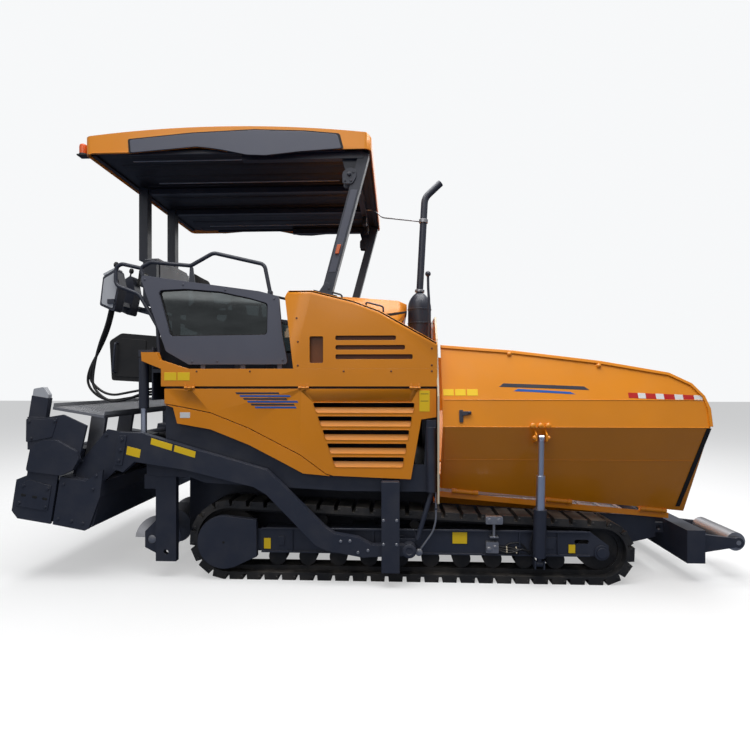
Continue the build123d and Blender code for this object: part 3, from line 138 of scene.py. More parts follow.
class Shader:
    """One material under construction."""

    def __init__(self, name: str) -> None:
        """Start an empty node material.

        Args:
            name: Name of the material.
        """
        self.material = bpy.data.materials.new(name)
        self.material.use_nodes = True
        self.tree = self.material.node_tree
        self.tree.nodes.clear()
        self.output = self.tree.nodes.new("ShaderNodeOutputMaterial")
        self.coords = self.node("ShaderNodeTexCoord").outputs["Object"]

    def node(self, kind: str, settings: dict | None = None, **inputs: object) -> bpy.types.Node:
        """Add a node.

        Args:
            kind: Node type.
            settings: Node properties, set before the inputs.
            inputs: Values or links by socket name, underscores standing for spaces.

        Returns:
            The new node.
        """
        made = self.tree.nodes.new(kind)
        for key, value in (settings or {}).items():
            setattr(made, key, value)
        for key, value in inputs.items():
            self.feed(made.inputs[key.replace("_", " ")], value)
        return made

    def feed(self, socket: bpy.types.NodeSocket, value: object) -> None:
        """Link or set one input socket.

        Args:
            socket: The input.
            value: A Value, an output socket, a number or a colour.
        """
        if isinstance(value, Value):
            value = value.socket
        if isinstance(value, bpy.types.NodeSocket):
            self.tree.links.new(value, socket)
        elif isinstance(value, (tuple, list)) and socket.type == "RGBA":
            socket.default_value = (*value[:3], 1.0)
        else:
            socket.default_value = value

    def math(self, operation: str, *values: "float | Value") -> Value:
        """Return a Math node's result.

        Args:
            operation: The node's operation.
            values: Its operands.

        Returns:
            The result.
        """
        made = self.node("ShaderNodeMath", {"operation": operation})
        for socket, value in zip(made.inputs, values):
            self.feed(socket, value)
        return Value(self, made.outputs[0])

    def noise(self, scale: float, detail: float = 3.0, stretch: Point = (1, 1, 1)) -> Value:
        """Return noise from 0 to 1 in object space.

        Args:
            scale: Waves per metre.
            detail: Octaves.
            stretch: Scale of the pattern along each axis.

        Returns:
            The noise.
        """
        place = self.coords
        if tuple(stretch) != (1, 1, 1):
            place = self.node("ShaderNodeMapping", Vector=place, Scale=tuple(stretch)).outputs[0]
        made = self.node("ShaderNodeTexNoise", Vector=place, Scale=scale, Detail=detail)
        return Value(self, made.outputs[0])

    def mix(self, factor: "float | Value", low: object, high: object) -> bpy.types.NodeSocket:
        """Return a colour between low and high.

        Args:
            factor: 0 for low and 1 for high.
            low: Colour or socket.
            high: Colour or socket.

        Returns:
            The mixed colour's socket.
        """
        made = self.node("ShaderNodeMix", {"data_type": "RGBA"})
        self.feed(made.inputs[0], factor)
        self.feed(made.inputs[6], low)
        self.feed(made.inputs[7], high)
        return made.outputs[2]

    def facing_up(self) -> Value:
        """Return the surface normal's Z."""
        normal = self.node("ShaderNodeNewGeometry").outputs["Normal"]
        return Value(self, self.node("ShaderNodeSeparateXYZ", Vector=normal).outputs["Z"])

    def edge(self, radius: float) -> Value:
        """Return about 0 on flat faces and 1 on sharp edges.

        Args:
            radius: Width of the edge in metres.

        Returns:
            The share of edge wear and painted edge highlight.
        """
        soft = self.node("ShaderNodeBevel", {"samples": BEVEL_SAMPLES}, Radius=radius).outputs[0]
        true = self.node("ShaderNodeNewGeometry").outputs["Normal"]
        dot = self.node("ShaderNodeVectorMath", {"operation": "DOT_PRODUCT"})
        self.feed(dot.inputs[0], soft)
        self.feed(dot.inputs[1], true)
        return (1.0 - Value(self, dot.outputs["Value"])).over(0.02, 0.25)

    def finish(self, surface: bpy.types.Node) -> bpy.types.Material:
        """Connect the surface and return the material."""
        self.tree.links.new(surface.outputs[0], self.output.inputs["Surface"])
        return self.material


def srgb(red: int, green: int, blue: int) -> tuple[float, float, float]:
    """Return the linear colour of an sRGB triple from 0 to 255.

    Args:
        red: Red.
        green: Green.
        blue: Blue.

    Returns:
        Its three linear values.
    """
    return tuple(((c / 255 + 0.055) / 1.055) ** 2.4 if c > 10 else c / 255 / 12.92 for c in (red, green, blue))


# -------------------------------------------------------------------- finishes


@dataclass(frozen=True)
class Finish:
    """A surface finish: painted, cast, rubber or plastic, with dust and with lighter edges that are partly wear and
    partly a painted highlight.
    """

    name: str
    colour: tuple[int, int, int]
    slot: str
    roughness: float = 0.45
    metallic: float = 0.0
    coat: float = 0.0
    grain: float = 60.0
    bump: float = 0.05
    dust: float = 0.12
    dust_colour: tuple[int, int, int] = (150, 140, 128)
    # share and colour of the lighter edges: partly wear, partly a painted edge highlight
    wear: float = 0.15
    wear_colour: tuple[int, int, int] = (150, 148, 145)
    bevel: float = 0.003

    def material(self) -> bpy.types.Material:
        """Return the finish's material, building it once."""
        found = bpy.data.materials.get(self.name)
        return found or self.build()

    def build(self) -> bpy.types.Material:
        """Build the nodes: base colour with drift, dust that settles on top, lighter edges that are partly wear and
        partly a painted highlight.

        Returns:
            The new material.
        """
        shader = Shader(self.name)
        base = srgb(*self.colour)
        drift = shader.noise(1.7, 4.0)
        darker = tuple(c * 0.86 for c in base)
        lighter = tuple(min(1.0, c * 1.1) for c in base)
        colour = shader.mix(drift, darker, lighter)
        cloud = shader.noise(6.0, 6.0).over(0.42, 0.3)
        settled = (shader.facing_up().over(-0.2, 1.3) * 0.7 + 0.3) * cloud * self.dust
        colour = shader.mix(settled, colour, srgb(*self.dust_colour))
        # lighter edges from the bevel mask: edge wear, and on the orange paint a painted highlight
        if self.wear:
            worn_and_highlit = shader.edge(self.bevel) * shader.noise(35.0, 4.0).over(0.45, 0.2) * self.wear
            colour = shader.mix(worn_and_highlit, colour, srgb(*self.wear_colour))
        fine = shader.noise(self.grain * 10, 4.0)
        rough = (fine - 0.5) * 0.12 + cloud * 0.08 + self.roughness
        bevelled = shader.node("ShaderNodeBevel", {"samples": BEVEL_SAMPLES}, Radius=self.bevel).outputs[0]
        bump = shader.node(
            "ShaderNodeBump", Strength=self.bump, Distance=0.002, Height=fine.socket, Normal=bevelled
        )
        surface = shader.node(
            "ShaderNodeBsdfPrincipled",
            Base_Color=colour,
            Roughness=rough,
            Metallic=self.metallic,
            Coat_Weight=self.coat,
            Coat_Roughness=0.12,
            Normal=bump.outputs[0],
        )
        return shader.finish(surface)


ORANGE = Finish("enamel_orange", (234, 142, 10), "orange_paint", 0.34, coat=0.35, bump=0.03, dust=0.03, wear=0.05)
DARK = Finish("enamel_dark", (43, 47, 60), "dark_paint", 0.42, coat=0.15, dust=0.10, wear=0.12)
SCREEN = Finish("enamel_grey", (86, 88, 100), "screen_paint", 0.48, dust=0.08, wear=0.08)
TRACK = Finish("cast_track", (40, 40, 42), "track_steel", 0.6, metallic=0.3, bump=0.2, dust=0.35, wear=0.5)
CHROME = Finish("rod_chrome", (224, 230, 244), "polished_rod", 0.3, metallic=1.0, bump=0.01, dust=0.02, wear=0.0)
STEEL = Finish("steel_plain", (168, 168, 172), "bare_steel", 0.4, metallic=0.9, bump=0.1, dust=0.2, wear=0.2)
PLASTIC = Finish("plastic_black", (22, 22, 25), "black_plastic", 0.5, bump=0.15, dust=0.08, wear=0.0)
FABRIC = Finish("fabric_black", (30, 30, 33), "seat_fabric", 0.75, bump=0.3, dust=0.05, wear=0.0)
AMBER = Finish("lens_amber", (226, 92, 16), "amber_lens", 0.2, coat=0.5, bump=0.02, dust=0.03, wear=0.0)

YELLOW = Finish("yellow_plate", (255, 206, 26), "orange_paint", 0.4, bump=0.02, dust=0.03, wear=0.05, grain=30)
WHITE = Finish("white_plate", (225, 225, 222), "bare_steel", 0.4, bump=0.02, dust=0.1, wear=0.0)
RED = Finish("red_tape", (190, 28, 26), "amber_lens", 0.35, bump=0.05, dust=0.06, wear=0.0)
BLUE = Finish("blue_bar", (28, 92, 176), "screen_paint", 0.32, coat=0.3, bump=0.02, dust=0.04, wear=0.03)
SLATE = Finish("slate_bar", (52, 54, 66), "screen_paint", 0.35, coat=0.3, bump=0.02, dust=0.04, wear=0.03)
CREAM = Finish("pale_edge", (214, 200, 172), "bare_steel", 0.5, bump=0.03, dust=0.12, wear=0.08)
# darker copy of the orange paint: painted shade in the hood's pocket recesses and on the band bolts
ORANGE_SHADE = Finish("rim_paint", (120, 62, 10), "orange_paint", 0.4, coat=0.3, bump=0.04, dust=0.10, wear=0.20)
RUBBER = Finish("black_rubber", (18, 18, 19), "black_plastic", 0.7, bump=0.25, dust=0.15, wear=0.0)
PANEL = Finish("pale_panel", (186, 188, 192), "screen_paint", 0.5, bump=0.08, dust=0.08, wear=0.05)
WALK = Finish("walkway_steel", (158, 160, 164), "bare_steel", 0.45, metallic=0.3, bump=0.12, dust=0.25, wear=0.2)
LINING = Finish("lining_plastic", (26, 27, 36), "black_plastic", 0.5, bump=0.12, dust=0.04, wear=0.0)
LENS = Finish("lamp_lens", (232, 236, 240), "bare_steel", 0.12, coat=0.8, bump=0.3, grain=20, dust=0.03, wear=0.0)
MARKER = Finish("orange_knob", (222, 96, 20), "orange_paint", 0.25, coat=0.5, bump=0.02, dust=0.03, wear=0.02)
SCREEN_GLASS = Finish("dark_display", (12, 14, 18), "black_plastic", 0.08, coat=0.8, bump=0.0, dust=0.03, wear=0.0)

NODE_FINISHES = {
    "orange_paint": ORANGE,
    "dark_paint": DARK,
    "screen_paint": SCREEN,
    "track_steel": TRACK,
    "polished_rod": CHROME,
    "bare_steel": STEEL,
    "black_plastic": PLASTIC,
    "seat_fabric": FABRIC,
    "amber_lens": AMBER,
}


def glass_material() -> bpy.types.Material:
    """Return tinted window glass, see-through at this scale.

    Returns:
        The material.
    """
    shader = Shader("glass_tinted")
    clear = shader.node("ShaderNodeBsdfTransparent", Color=srgb(104, 112, 114))
    gloss = shader.node("ShaderNodeBsdfGlossy", Color=(0.8, 0.85, 0.85), Roughness=0.05)
    fresnel = shader.node("ShaderNodeFresnel", IOR=1.5)
    streak = shader.noise(2.5, 3.0, (1, 1, 4)) * 0.15 + Value(shader, fresnel.outputs[0])
    mixed = shader.node("ShaderNodeMixShader", Fac=streak)
    shader.tree.links.new(clear.outputs[0], mixed.inputs[1])
    shader.tree.links.new(gloss.outputs[0], mixed.inputs[2])
    return shader.finish(mixed)


# ------------------------------------------------------------------ mesh making


class Shape:
    """Closed forms gathered in millimetres, then finished as one piece."""

    def __init__(self) -> None:
        """Start an empty shape."""
        self.mesh = bmesh.new()

    def loft(self, rings: Sequence[Sequence[Point]]) -> "Shape":
        """Add a closed form through rings of equal count.

        Args:
            rings: Corner points of each section.

        Returns:
            The shape itself.
        """
        rows = self.rows(rings)
        caps = [self.mesh.faces.new(tuple(reversed(rows[0]))), self.mesh.faces.new(tuple(rows[-1]))]
        return self.join(rows, caps)

    def rows(self, rings: Sequence[Sequence[Point]]) -> list[list[bmesh.types.BMVert]]:
        """Add the corner points of every ring and return them."""
        return [[self.mesh.verts.new(Vector(point) * MM) for point in ring] for ring in rings]

    def join(self, rows: list[list[bmesh.types.BMVert]], faces: list[bmesh.types.BMFace]) -> "Shape":
        """Join each row of points to the next with faces of four corners.

        Args:
            rows: Points of each section, in order.
            faces: The faces the form has already.

        Returns:
            The shape itself.
        """
        for low, high in zip(rows, rows[1:]):
            count = len(low)
            for i in range(count):
                j = (i + 1) % count
                faces.append(self.mesh.faces.new((low[i], low[j], high[j], high[i])))
        bmesh.ops.recalc_face_normals(self.mesh, faces=faces)
        return self

    def box(self, x: Point, out: Point, z: Point) -> "Shape":
        """Add a box between limits on X, distance out to the right and Z."""
        return self.slab(oblong(*x, *z), *out)

    def slab(self, outline: Sequence[Point], near: float, far: float) -> "Shape":
        """Add an outline of X and Z, extruded between two distances out to the right."""
        return self.loft([[(x, -out, z) for x, z in outline] for out in (near, far)])

    def across(self, outline: Sequence[Point], rear: float, front: float) -> "Shape":
        """Add an outline of distance out and Z, extruded between two places on X."""
        return self.loft([[(x, -out, z) for out, z in outline] for x in (rear, front)])

    def raised(self, outline: Sequence[Point], near: float, far: float) -> "Shape":
        """Add an outline given on the lowered screed, extruded outward, as it stands when raised."""
        return self.loft([[raised(x, out, z) for x, z in outline] for out in (near, far)])

    def tube(self, route: Sequence[Point], radius: float, sides: int = 12, bend: float = 0.0) -> "Shape":
        """Add a rigid round tube along a route.

        Args:
            route: Points in X, Y and Z.
            radius: Its radius.
            sides: Faces round it.
            bend: How far before each corner the tube starts to turn.

        Returns:
            The shape itself.
        """
        path = rounded([Vector(point) for point in route], bend)
        rings = []
        normal = None
        for index, point in enumerate(path):
            way = (path[min(index + 1, len(path) - 1)] - path[max(index - 1, 0)]).normalized()
            if normal is None:
                normal = way.orthogonal().normalized()
            normal = (normal - way * normal.dot(way)).normalized()
            rings.append(circle(point, normal, way.cross(normal), radius, sides))
        return self.loft(rings)

    def lathe(self, origin: Point, axis: Point, profile: Sequence[Point], sides: int = 28) -> "Shape":
        """Add a turned form.

        Args:
            origin: Start of its axis.
            axis: Direction of its axis.
            profile: Radius and distance along the axis, from end to end.
            sides: Faces round it.

        Returns:
            The shape itself.
        """
        way = Vector(axis).normalized()
        normal = way.orthogonal().normalized()
        other = way.cross(normal)
        start = Vector(origin)
        return self.loft([circle(start + way * along, normal, other, radius, sides) for radius, along in profile])

    def disc(self, origin: Point, axis: Point, radius: float, depth: float, sides: int = 24) -> "Shape":
        """Add a round plate with an eased rim.

        Args:
            origin: Centre of its back.
            axis: Way it faces.
            radius: Its radius.
            depth: Its thickness.
            sides: Faces round it.

        Returns:
            The shape itself.
        """
        ease = min(depth, radius) * 0.2
        profile = [(radius, 0), (radius, depth - ease), (radius - ease, depth)]
        return self.lathe(origin, axis, profile, sides)

    def ball(self, centre: Point, radius: float, sides: int = 16) -> "Shape":
        """Add a ball.

        Args:
            centre: Its centre.
            radius: Its radius.
            sides: Faces round it.

        Returns:
            The shape itself.
        """
        turns = [math.radians(a) for a in range(-80, 81, 20)]
        profile = [(radius * math.cos(t), radius * math.sin(t)) for t in turns]
        return self.lathe(centre, UP, profile, sides)

    def decal(self, skin: "Skin", outline: Sequence[Point], thickness: float = 1.0, lift: float = 0.3) -> "Shape":
        """Add a thin plate that lies on a surface.

        Args:
            skin: The surface, met from the right.
            outline: X and Z of its corners.
            thickness: Its thickness.
            lift: How far its back stands off the surface.

        Returns:
            The shape itself.
        """
        hits = [skin.from_right(x, z) for x, z in outline]
        rings = [[point + normal * depth for point, normal in hits] for depth in (lift - 1.0, lift + thickness)]
        return self.loft(rings)

    def hoop(self, first: Sequence[Point], second: Sequence[Point], near: float, far: float) -> "Shape":
        """Add a closed frame between two outlines of equal count, one inside the other.

        Args:
            first: X and Z of the corners on one side of the frame.
            second: X and Z of the corners on the other side.
            near: Distance out at which it starts.
            far: Distance out at which it ends.

        Returns:
            The shape itself.
        """
        ends = ((first, near), (first, far), (second, far), (second, near))
        rows = self.rows([[(x, -out, z) for x, z in outline] for outline, out in ends])
        return self.join(rows + rows[:1], [])

    def to(self, side: Side) -> "Shape":
        """Move the shape, drawn on the right, to a side.

        Args:
            side: Where it goes.

        Returns:
            The shape itself.
        """
        if side is Side.LEFT:
            for vert in self.mesh.verts:
                vert.co.y = -vert.co.y
            bmesh.ops.reverse_faces(self.mesh, faces=self.mesh.faces[:])
        return self

    def mirror(self) -> "Shape":
        """Add the mirror image on the left side.

        Returns:
            The shape itself.
        """
        copied = bmesh.ops.duplicate(self.mesh, geom=self.mesh.verts[:] + self.mesh.edges[:] + self.mesh.faces[:])
        verts = [item for item in copied["geom"] if isinstance(item, bmesh.types.BMVert)]
        faces = [item for item in copied["geom"] if isinstance(item, bmesh.types.BMFace)]
        for vert in verts:
            vert.co.y = -vert.co.y
        bmesh.ops.reverse_faces(self.mesh, faces=faces)
        return self

    def make(
        self, name: str, body: str, finish: Finish, bevel: float = 2.0, smooth: float = 40.0
    ) -> bpy.types.Object:
        """Finish the shape as a piece that rides on a body.

        Args:
            name: The piece's name.
            body: The CAD body that carries it.
            finish: Its surface finish.
            bevel: Width of its eased edges.
            smooth: Edges sharper than this angle stay sharp.

        Returns:
            The new object.
        """
        data = bpy.data.meshes.new(name)
        self.mesh.to_mesh(data)
        self.mesh.free()
        return finished(name, data, body, finish, bevel, smooth)


def finished(
    name: str, data: bpy.types.Mesh, body: str, finish: Finish, bevel: float = 0.0, smooth: float = 40.0
) -> bpy.types.Object:
    """Turn a mesh into a piece with its finish, edges and body.

    Args:
        name: The piece's name.
        data: Its mesh.
        body: The CAD body that carries it.
        finish: Its surface finish.
        bevel: Width of its eased edges in millimetres.
        smooth: Edges sharper than this angle stay sharp.

    Returns:
        The new object.
    """
    data.shade_smooth()
    data.set_sharp_from_angle(angle=math.radians(smooth))
    data.materials.clear()
    data.materials.append(finish.material())
    piece = bpy.data.objects.new(name, data)
    bpy.context.scene.collection.objects.link(piece)
    if bevel:
        ease = piece.modifiers.new("ease", "BEVEL")
        ease.width, ease.segments, ease.limit_method = bevel * MM, 2, "ANGLE"
        ease.angle_limit = SHARP_CORNER
        ease.use_clamp_overlap = True
    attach(piece, body)
    LOG.info("%s: %d faces on %s", name, len(data.polygons), body)
    return piece


def circle(centre: Vector, normal: Vector, other: Vector, radius: float, sides: int) -> list[Vector]:
    """Return the corners of a circle.

    Args:
        centre: Its centre.
        normal: Direction of its first corner.
        other: Direction in its plane, square to the first.
        radius: Its radius.
        sides: Number of corners.

    Returns:
        The corners in order.
    """
    turns = [2 * math.pi * k / sides for k in range(sides)]
    return [centre + (normal * math.cos(t) + other * math.sin(t)) * radius for t in turns]


def rounded(route: Sequence[Vector], bend: float) -> list[Vector]:
    """Return a route with its corners eased.

    Args:
        route: Its corner points.
        bend: How far before each corner it starts to turn.

    Returns:
        Points along the eased route.
    """
    if not bend:
        return list(route)
    path = [route[0]]
    for before, corner, after in zip(route, route[1:], route[2:]):
        start = corner + (before - corner).normalized() * min(bend, (before - corner).length * 0.48)
        end = corner + (after - corner).normalized() * min(bend, (after - corner).length * 0.48)
        for step in range(CORNER_STEPS + 1):
            share = step / CORNER_STEPS
            path.append(start.lerp(corner, share).lerp(corner.lerp(end, share), share))
    return path + [route[-1]]


def raised(x: float, out: float, z: float) -> Vector:
    """Return a point on the right side, given on the lowered screed, as it stands when raised.

    Args:
        x: Its X.
        out: Its distance out to the right.
        z: Its Z.

    Returns:
        The raised point.
    """
    forward = Vector((math.cos(SCREED_LIFT), 0, -math.sin(SCREED_LIFT)))
    upward = Vector((math.sin(SCREED_LIFT), 0, math.cos(SCREED_LIFT)))
    point = Vector((TOW_POINT[0], 0, TOW_POINT[1])) + forward * (x - TOW_POINT[0]) + upward * (z - TOW_POINT[1])
    return Vector((point.x, -out, point.z))


class Skin:
    """The outer surface of some CAD nodes, on which small pieces are seated."""

    def __init__(self, frame: dict, *nodes: str) -> None:
        """Read the surface.

        Args:
            nodes: Names of the CAD nodes.
        """
        points: list[Vector] = []
        faces: list[list[int]] = []
        for node in nodes:
            data = frame["nodes"][node].data
            start = len(points)
            points += [vert.co.copy() for vert in data.vertices]
            faces += [[start + index for index in face.vertices] for face in data.polygons]
        self.tree = BVHTree.FromPolygons(points, faces)

    def cast(self, origin: Point, way: Point) -> tuple[Vector, Vector]:
        """Return where a ray meets the surface, and its outward normal there, in millimetres.

        Args:
            origin: Where the ray starts.
            way: Its direction.

        Returns:
            The point and the normal.
        """
        direction = Vector(way).normalized()
        point, normal, _, _ = self.tree.ray_cast(Vector(origin) * MM, direction)
        if point is None:
            raise ValueError(f"no surface from {tuple(origin)} along {tuple(way)}")
        return point * 1000, normal if normal.dot(direction) < 0 else -normal

    def from_right(self, x: float, z: float) -> tuple[Vector, Vector]:
        """Return the point and normal met by looking from the right side."""
        return self.cast((x, -2500, z), (0, 1, 0))


def carved(frame: dict, node: str, body: str, cutter: Shape, added: Shape, finish: Finish) -> bpy.types.Object:
    """Cut openings in a copy of a CAD node, add forms to it, and let it stand for the node.

    Args:
        node: The CAD node.
        body: The body it rides on.
        cutter: What is cut away.
        added: What is added.
        finish: Its finish.

    Returns:
        The new piece.
    """
    source = frame["nodes"][node]
    work = bmesh.new()
    work.from_mesh(source.data)
    bmesh.ops.remove_doubles(work, verts=work.verts, dist=1e-5)
    data = bpy.data.meshes.new(node + "_work")
    work.to_mesh(data)
    work.free()
    body_object = bpy.data.objects.new(node + "_work", data)
    knife_data = bpy.data.meshes.new(node + "_knife")
    cutter.mesh.to_mesh(knife_data)
    cutter.mesh.free()
    knife = bpy.data.objects.new(node + "_knife", knife_data)
    for item in (body_object, knife):
        bpy.context.scene.collection.objects.link(item)
    cut = body_object.modifiers.new("openings", "BOOLEAN")
    cut.operation, cut.solver, cut.object = "DIFFERENCE", "EXACT", knife
    graph = bpy.context.evaluated_depsgraph_get()
    result = bpy.data.meshes.new_from_object(body_object.evaluated_get(graph))
    for item in (body_object, knife):
        bpy.data.objects.remove(item)
    added.mesh.from_mesh(result)
    whole = bpy.data.meshes.new(node + "_dressed")
    added.mesh.to_mesh(whole)
    added.mesh.free()
    piece = finished(node + "_dressed", whole, body, finish, smooth=30)
    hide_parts(node)
    return piece


# ------------------------------------------------------------- repeated hardware


class Head(Enum):
    """Kinds of repeated small hardware."""

    HEXAGON = 6
    ROUND = 16


@dataclass
class Fasteners:
    """Bolts, rivets and studs of one size, each seated on a point and facing its own way."""

    name: str
    body: str
    finish: Finish
    radius: float = 9.0
    height: float = 7.0
    head: Head = Head.HEXAGON
    places: list[tuple[Vector, Vector]] = field(default_factory=list)

    def add(self, place: Point, facing: Point) -> None:
        """Add one at a place, facing a way."""
        self.places.append((Vector(place), Vector(facing).normalized()))

    def row(self, places: Iterable[Point], facing: Point) -> "Fasteners":
        """Add one at each place, all facing one way.

        Args:
            places: Where they stand.
            facing: The way they face.

        Returns:
            The fasteners themselves.
        """
        for place in places:
            self.add(place, facing)
        return self

    def times(
        self, tree: bpy.types.NodeTree, socket: bpy.types.NodeSocket, factor: float
    ) -> bpy.types.NodeSocket:
        """Return a socket's value times a factor.

        Args:
            tree: The node tree.
            socket: The value.
            factor: The factor.

        Returns:
            The product's socket.
        """
        node = tree.nodes.new("ShaderNodeMath")
        node.operation = "MULTIPLY"
        node.inputs[1].default_value = factor
        tree.links.new(socket, node.inputs[0])
        return node.outputs[0]

    def tree(self) -> bpy.types.NodeTree:
        """Return the node tree: a head over a washer on every point, made real and given its finish.

        Returns:
            The node tree.
        """
        tree = bpy.data.node_groups.new(self.name, "GeometryNodeTree")
        link = tree.links.new
        for name, way, kind in (
            ("Geometry", "INPUT", "Geometry"),
            ("Radius", "INPUT", "Float"),
            ("Height", "INPUT", "Float"),
            ("Finish", "INPUT", "Material"),
            ("Geometry", "OUTPUT", "Geometry"),
        ):
            tree.interface.new_socket(name=name, in_out=way, socket_type=f"NodeSocket{kind}")
        start, end = tree.nodes.new("NodeGroupInput"), tree.nodes.new("NodeGroupOutput")
        join = tree.nodes.new("GeometryNodeJoinGeometry")
        for sides, wide, tall in ((self.head.value, 1.0, 1.0), WASHER):
            radius = self.times(tree, start.outputs["Radius"], wide)
            height = self.times(tree, start.outputs["Height"], tall)
            solid = tree.nodes.new("GeometryNodeMeshCylinder")
            solid.inputs["Vertices"].default_value = sides
            link(radius, solid.inputs["Radius"])
            link(height, solid.inputs["Depth"])
            lift = tree.nodes.new("ShaderNodeCombineXYZ")
            link(self.times(tree, height, 0.5), lift.inputs["Z"])
            move = tree.nodes.new("GeometryNodeTransform")
            link(solid.outputs["Mesh"], move.inputs["Geometry"])
            link(lift.outputs[0], move.inputs["Translation"])
            link(move.outputs[0], join.inputs[0])
        facing = tree.nodes.new("GeometryNodeInputNamedAttribute")
        facing.data_type = "FLOAT_VECTOR"
        facing.inputs["Name"].default_value = "facing"
        turn = tree.nodes.new("FunctionNodeAlignRotationToVector")
        turn.axis = "Z"
        link(facing.outputs["Attribute"], turn.inputs["Vector"])
        place = tree.nodes.new("GeometryNodeInstanceOnPoints")
        real = tree.nodes.new("GeometryNodeRealizeInstances")
        paint = tree.nodes.new("GeometryNodeSetMaterial")
        link(start.outputs["Geometry"], place.inputs["Points"])
        link(join.outputs[0], place.inputs["Instance"])
        link(turn.outputs[0], place.inputs["Rotation"])
        link(place.outputs[0], real.inputs[0])
        link(real.outputs[0], paint.inputs["Geometry"])
        link(start.outputs["Finish"], paint.inputs["Material"])
        link(paint.outputs[0], end.inputs["Geometry"])
        return tree

    def make(self, both: bool = True) -> bpy.types.Object:
        """Place them all and return the piece.

        Args:
            both: Whether the left side gets the mirror image.

        Returns:
            The new object.
        """
        places = list(self.places)
        if both:
            flip = Vector((1, -1, 1))
            places += [(point * flip, facing * flip) for point, facing in self.places]
        data = bpy.data.meshes.new(self.name + "_points")
        data.from_pydata([point * MM for point, _ in places], [], [])
        ways = data.attributes.new("facing", "FLOAT_VECTOR", "POINT")
        ways.data.foreach_set("vector", [value for _, facing in places for value in facing])
        holder = bpy.data.objects.new(self.name + "_points", data)
        bpy.context.scene.collection.objects.link(holder)
        nodes = holder.modifiers.new("hardware", "NODES")
        nodes.node_group = self.tree()
        values = {"Radius": self.radius * MM, "Height": self.height * MM, "Finish": self.finish.material()}
        for socket in nodes.node_group.interface.items_tree:
            if socket.in_out == "INPUT" and socket.name in values:
                nodes[socket.identifier] = values[socket.name]
        graph = bpy.context.evaluated_depsgraph_get()
        result = bpy.data.meshes.new_from_object(holder.evaluated_get(graph))
        bpy.data.objects.remove(holder)
        return finished(self.name, result, self.body, self.finish, smooth=30)


# ------------------------------------------------------------------------ studio


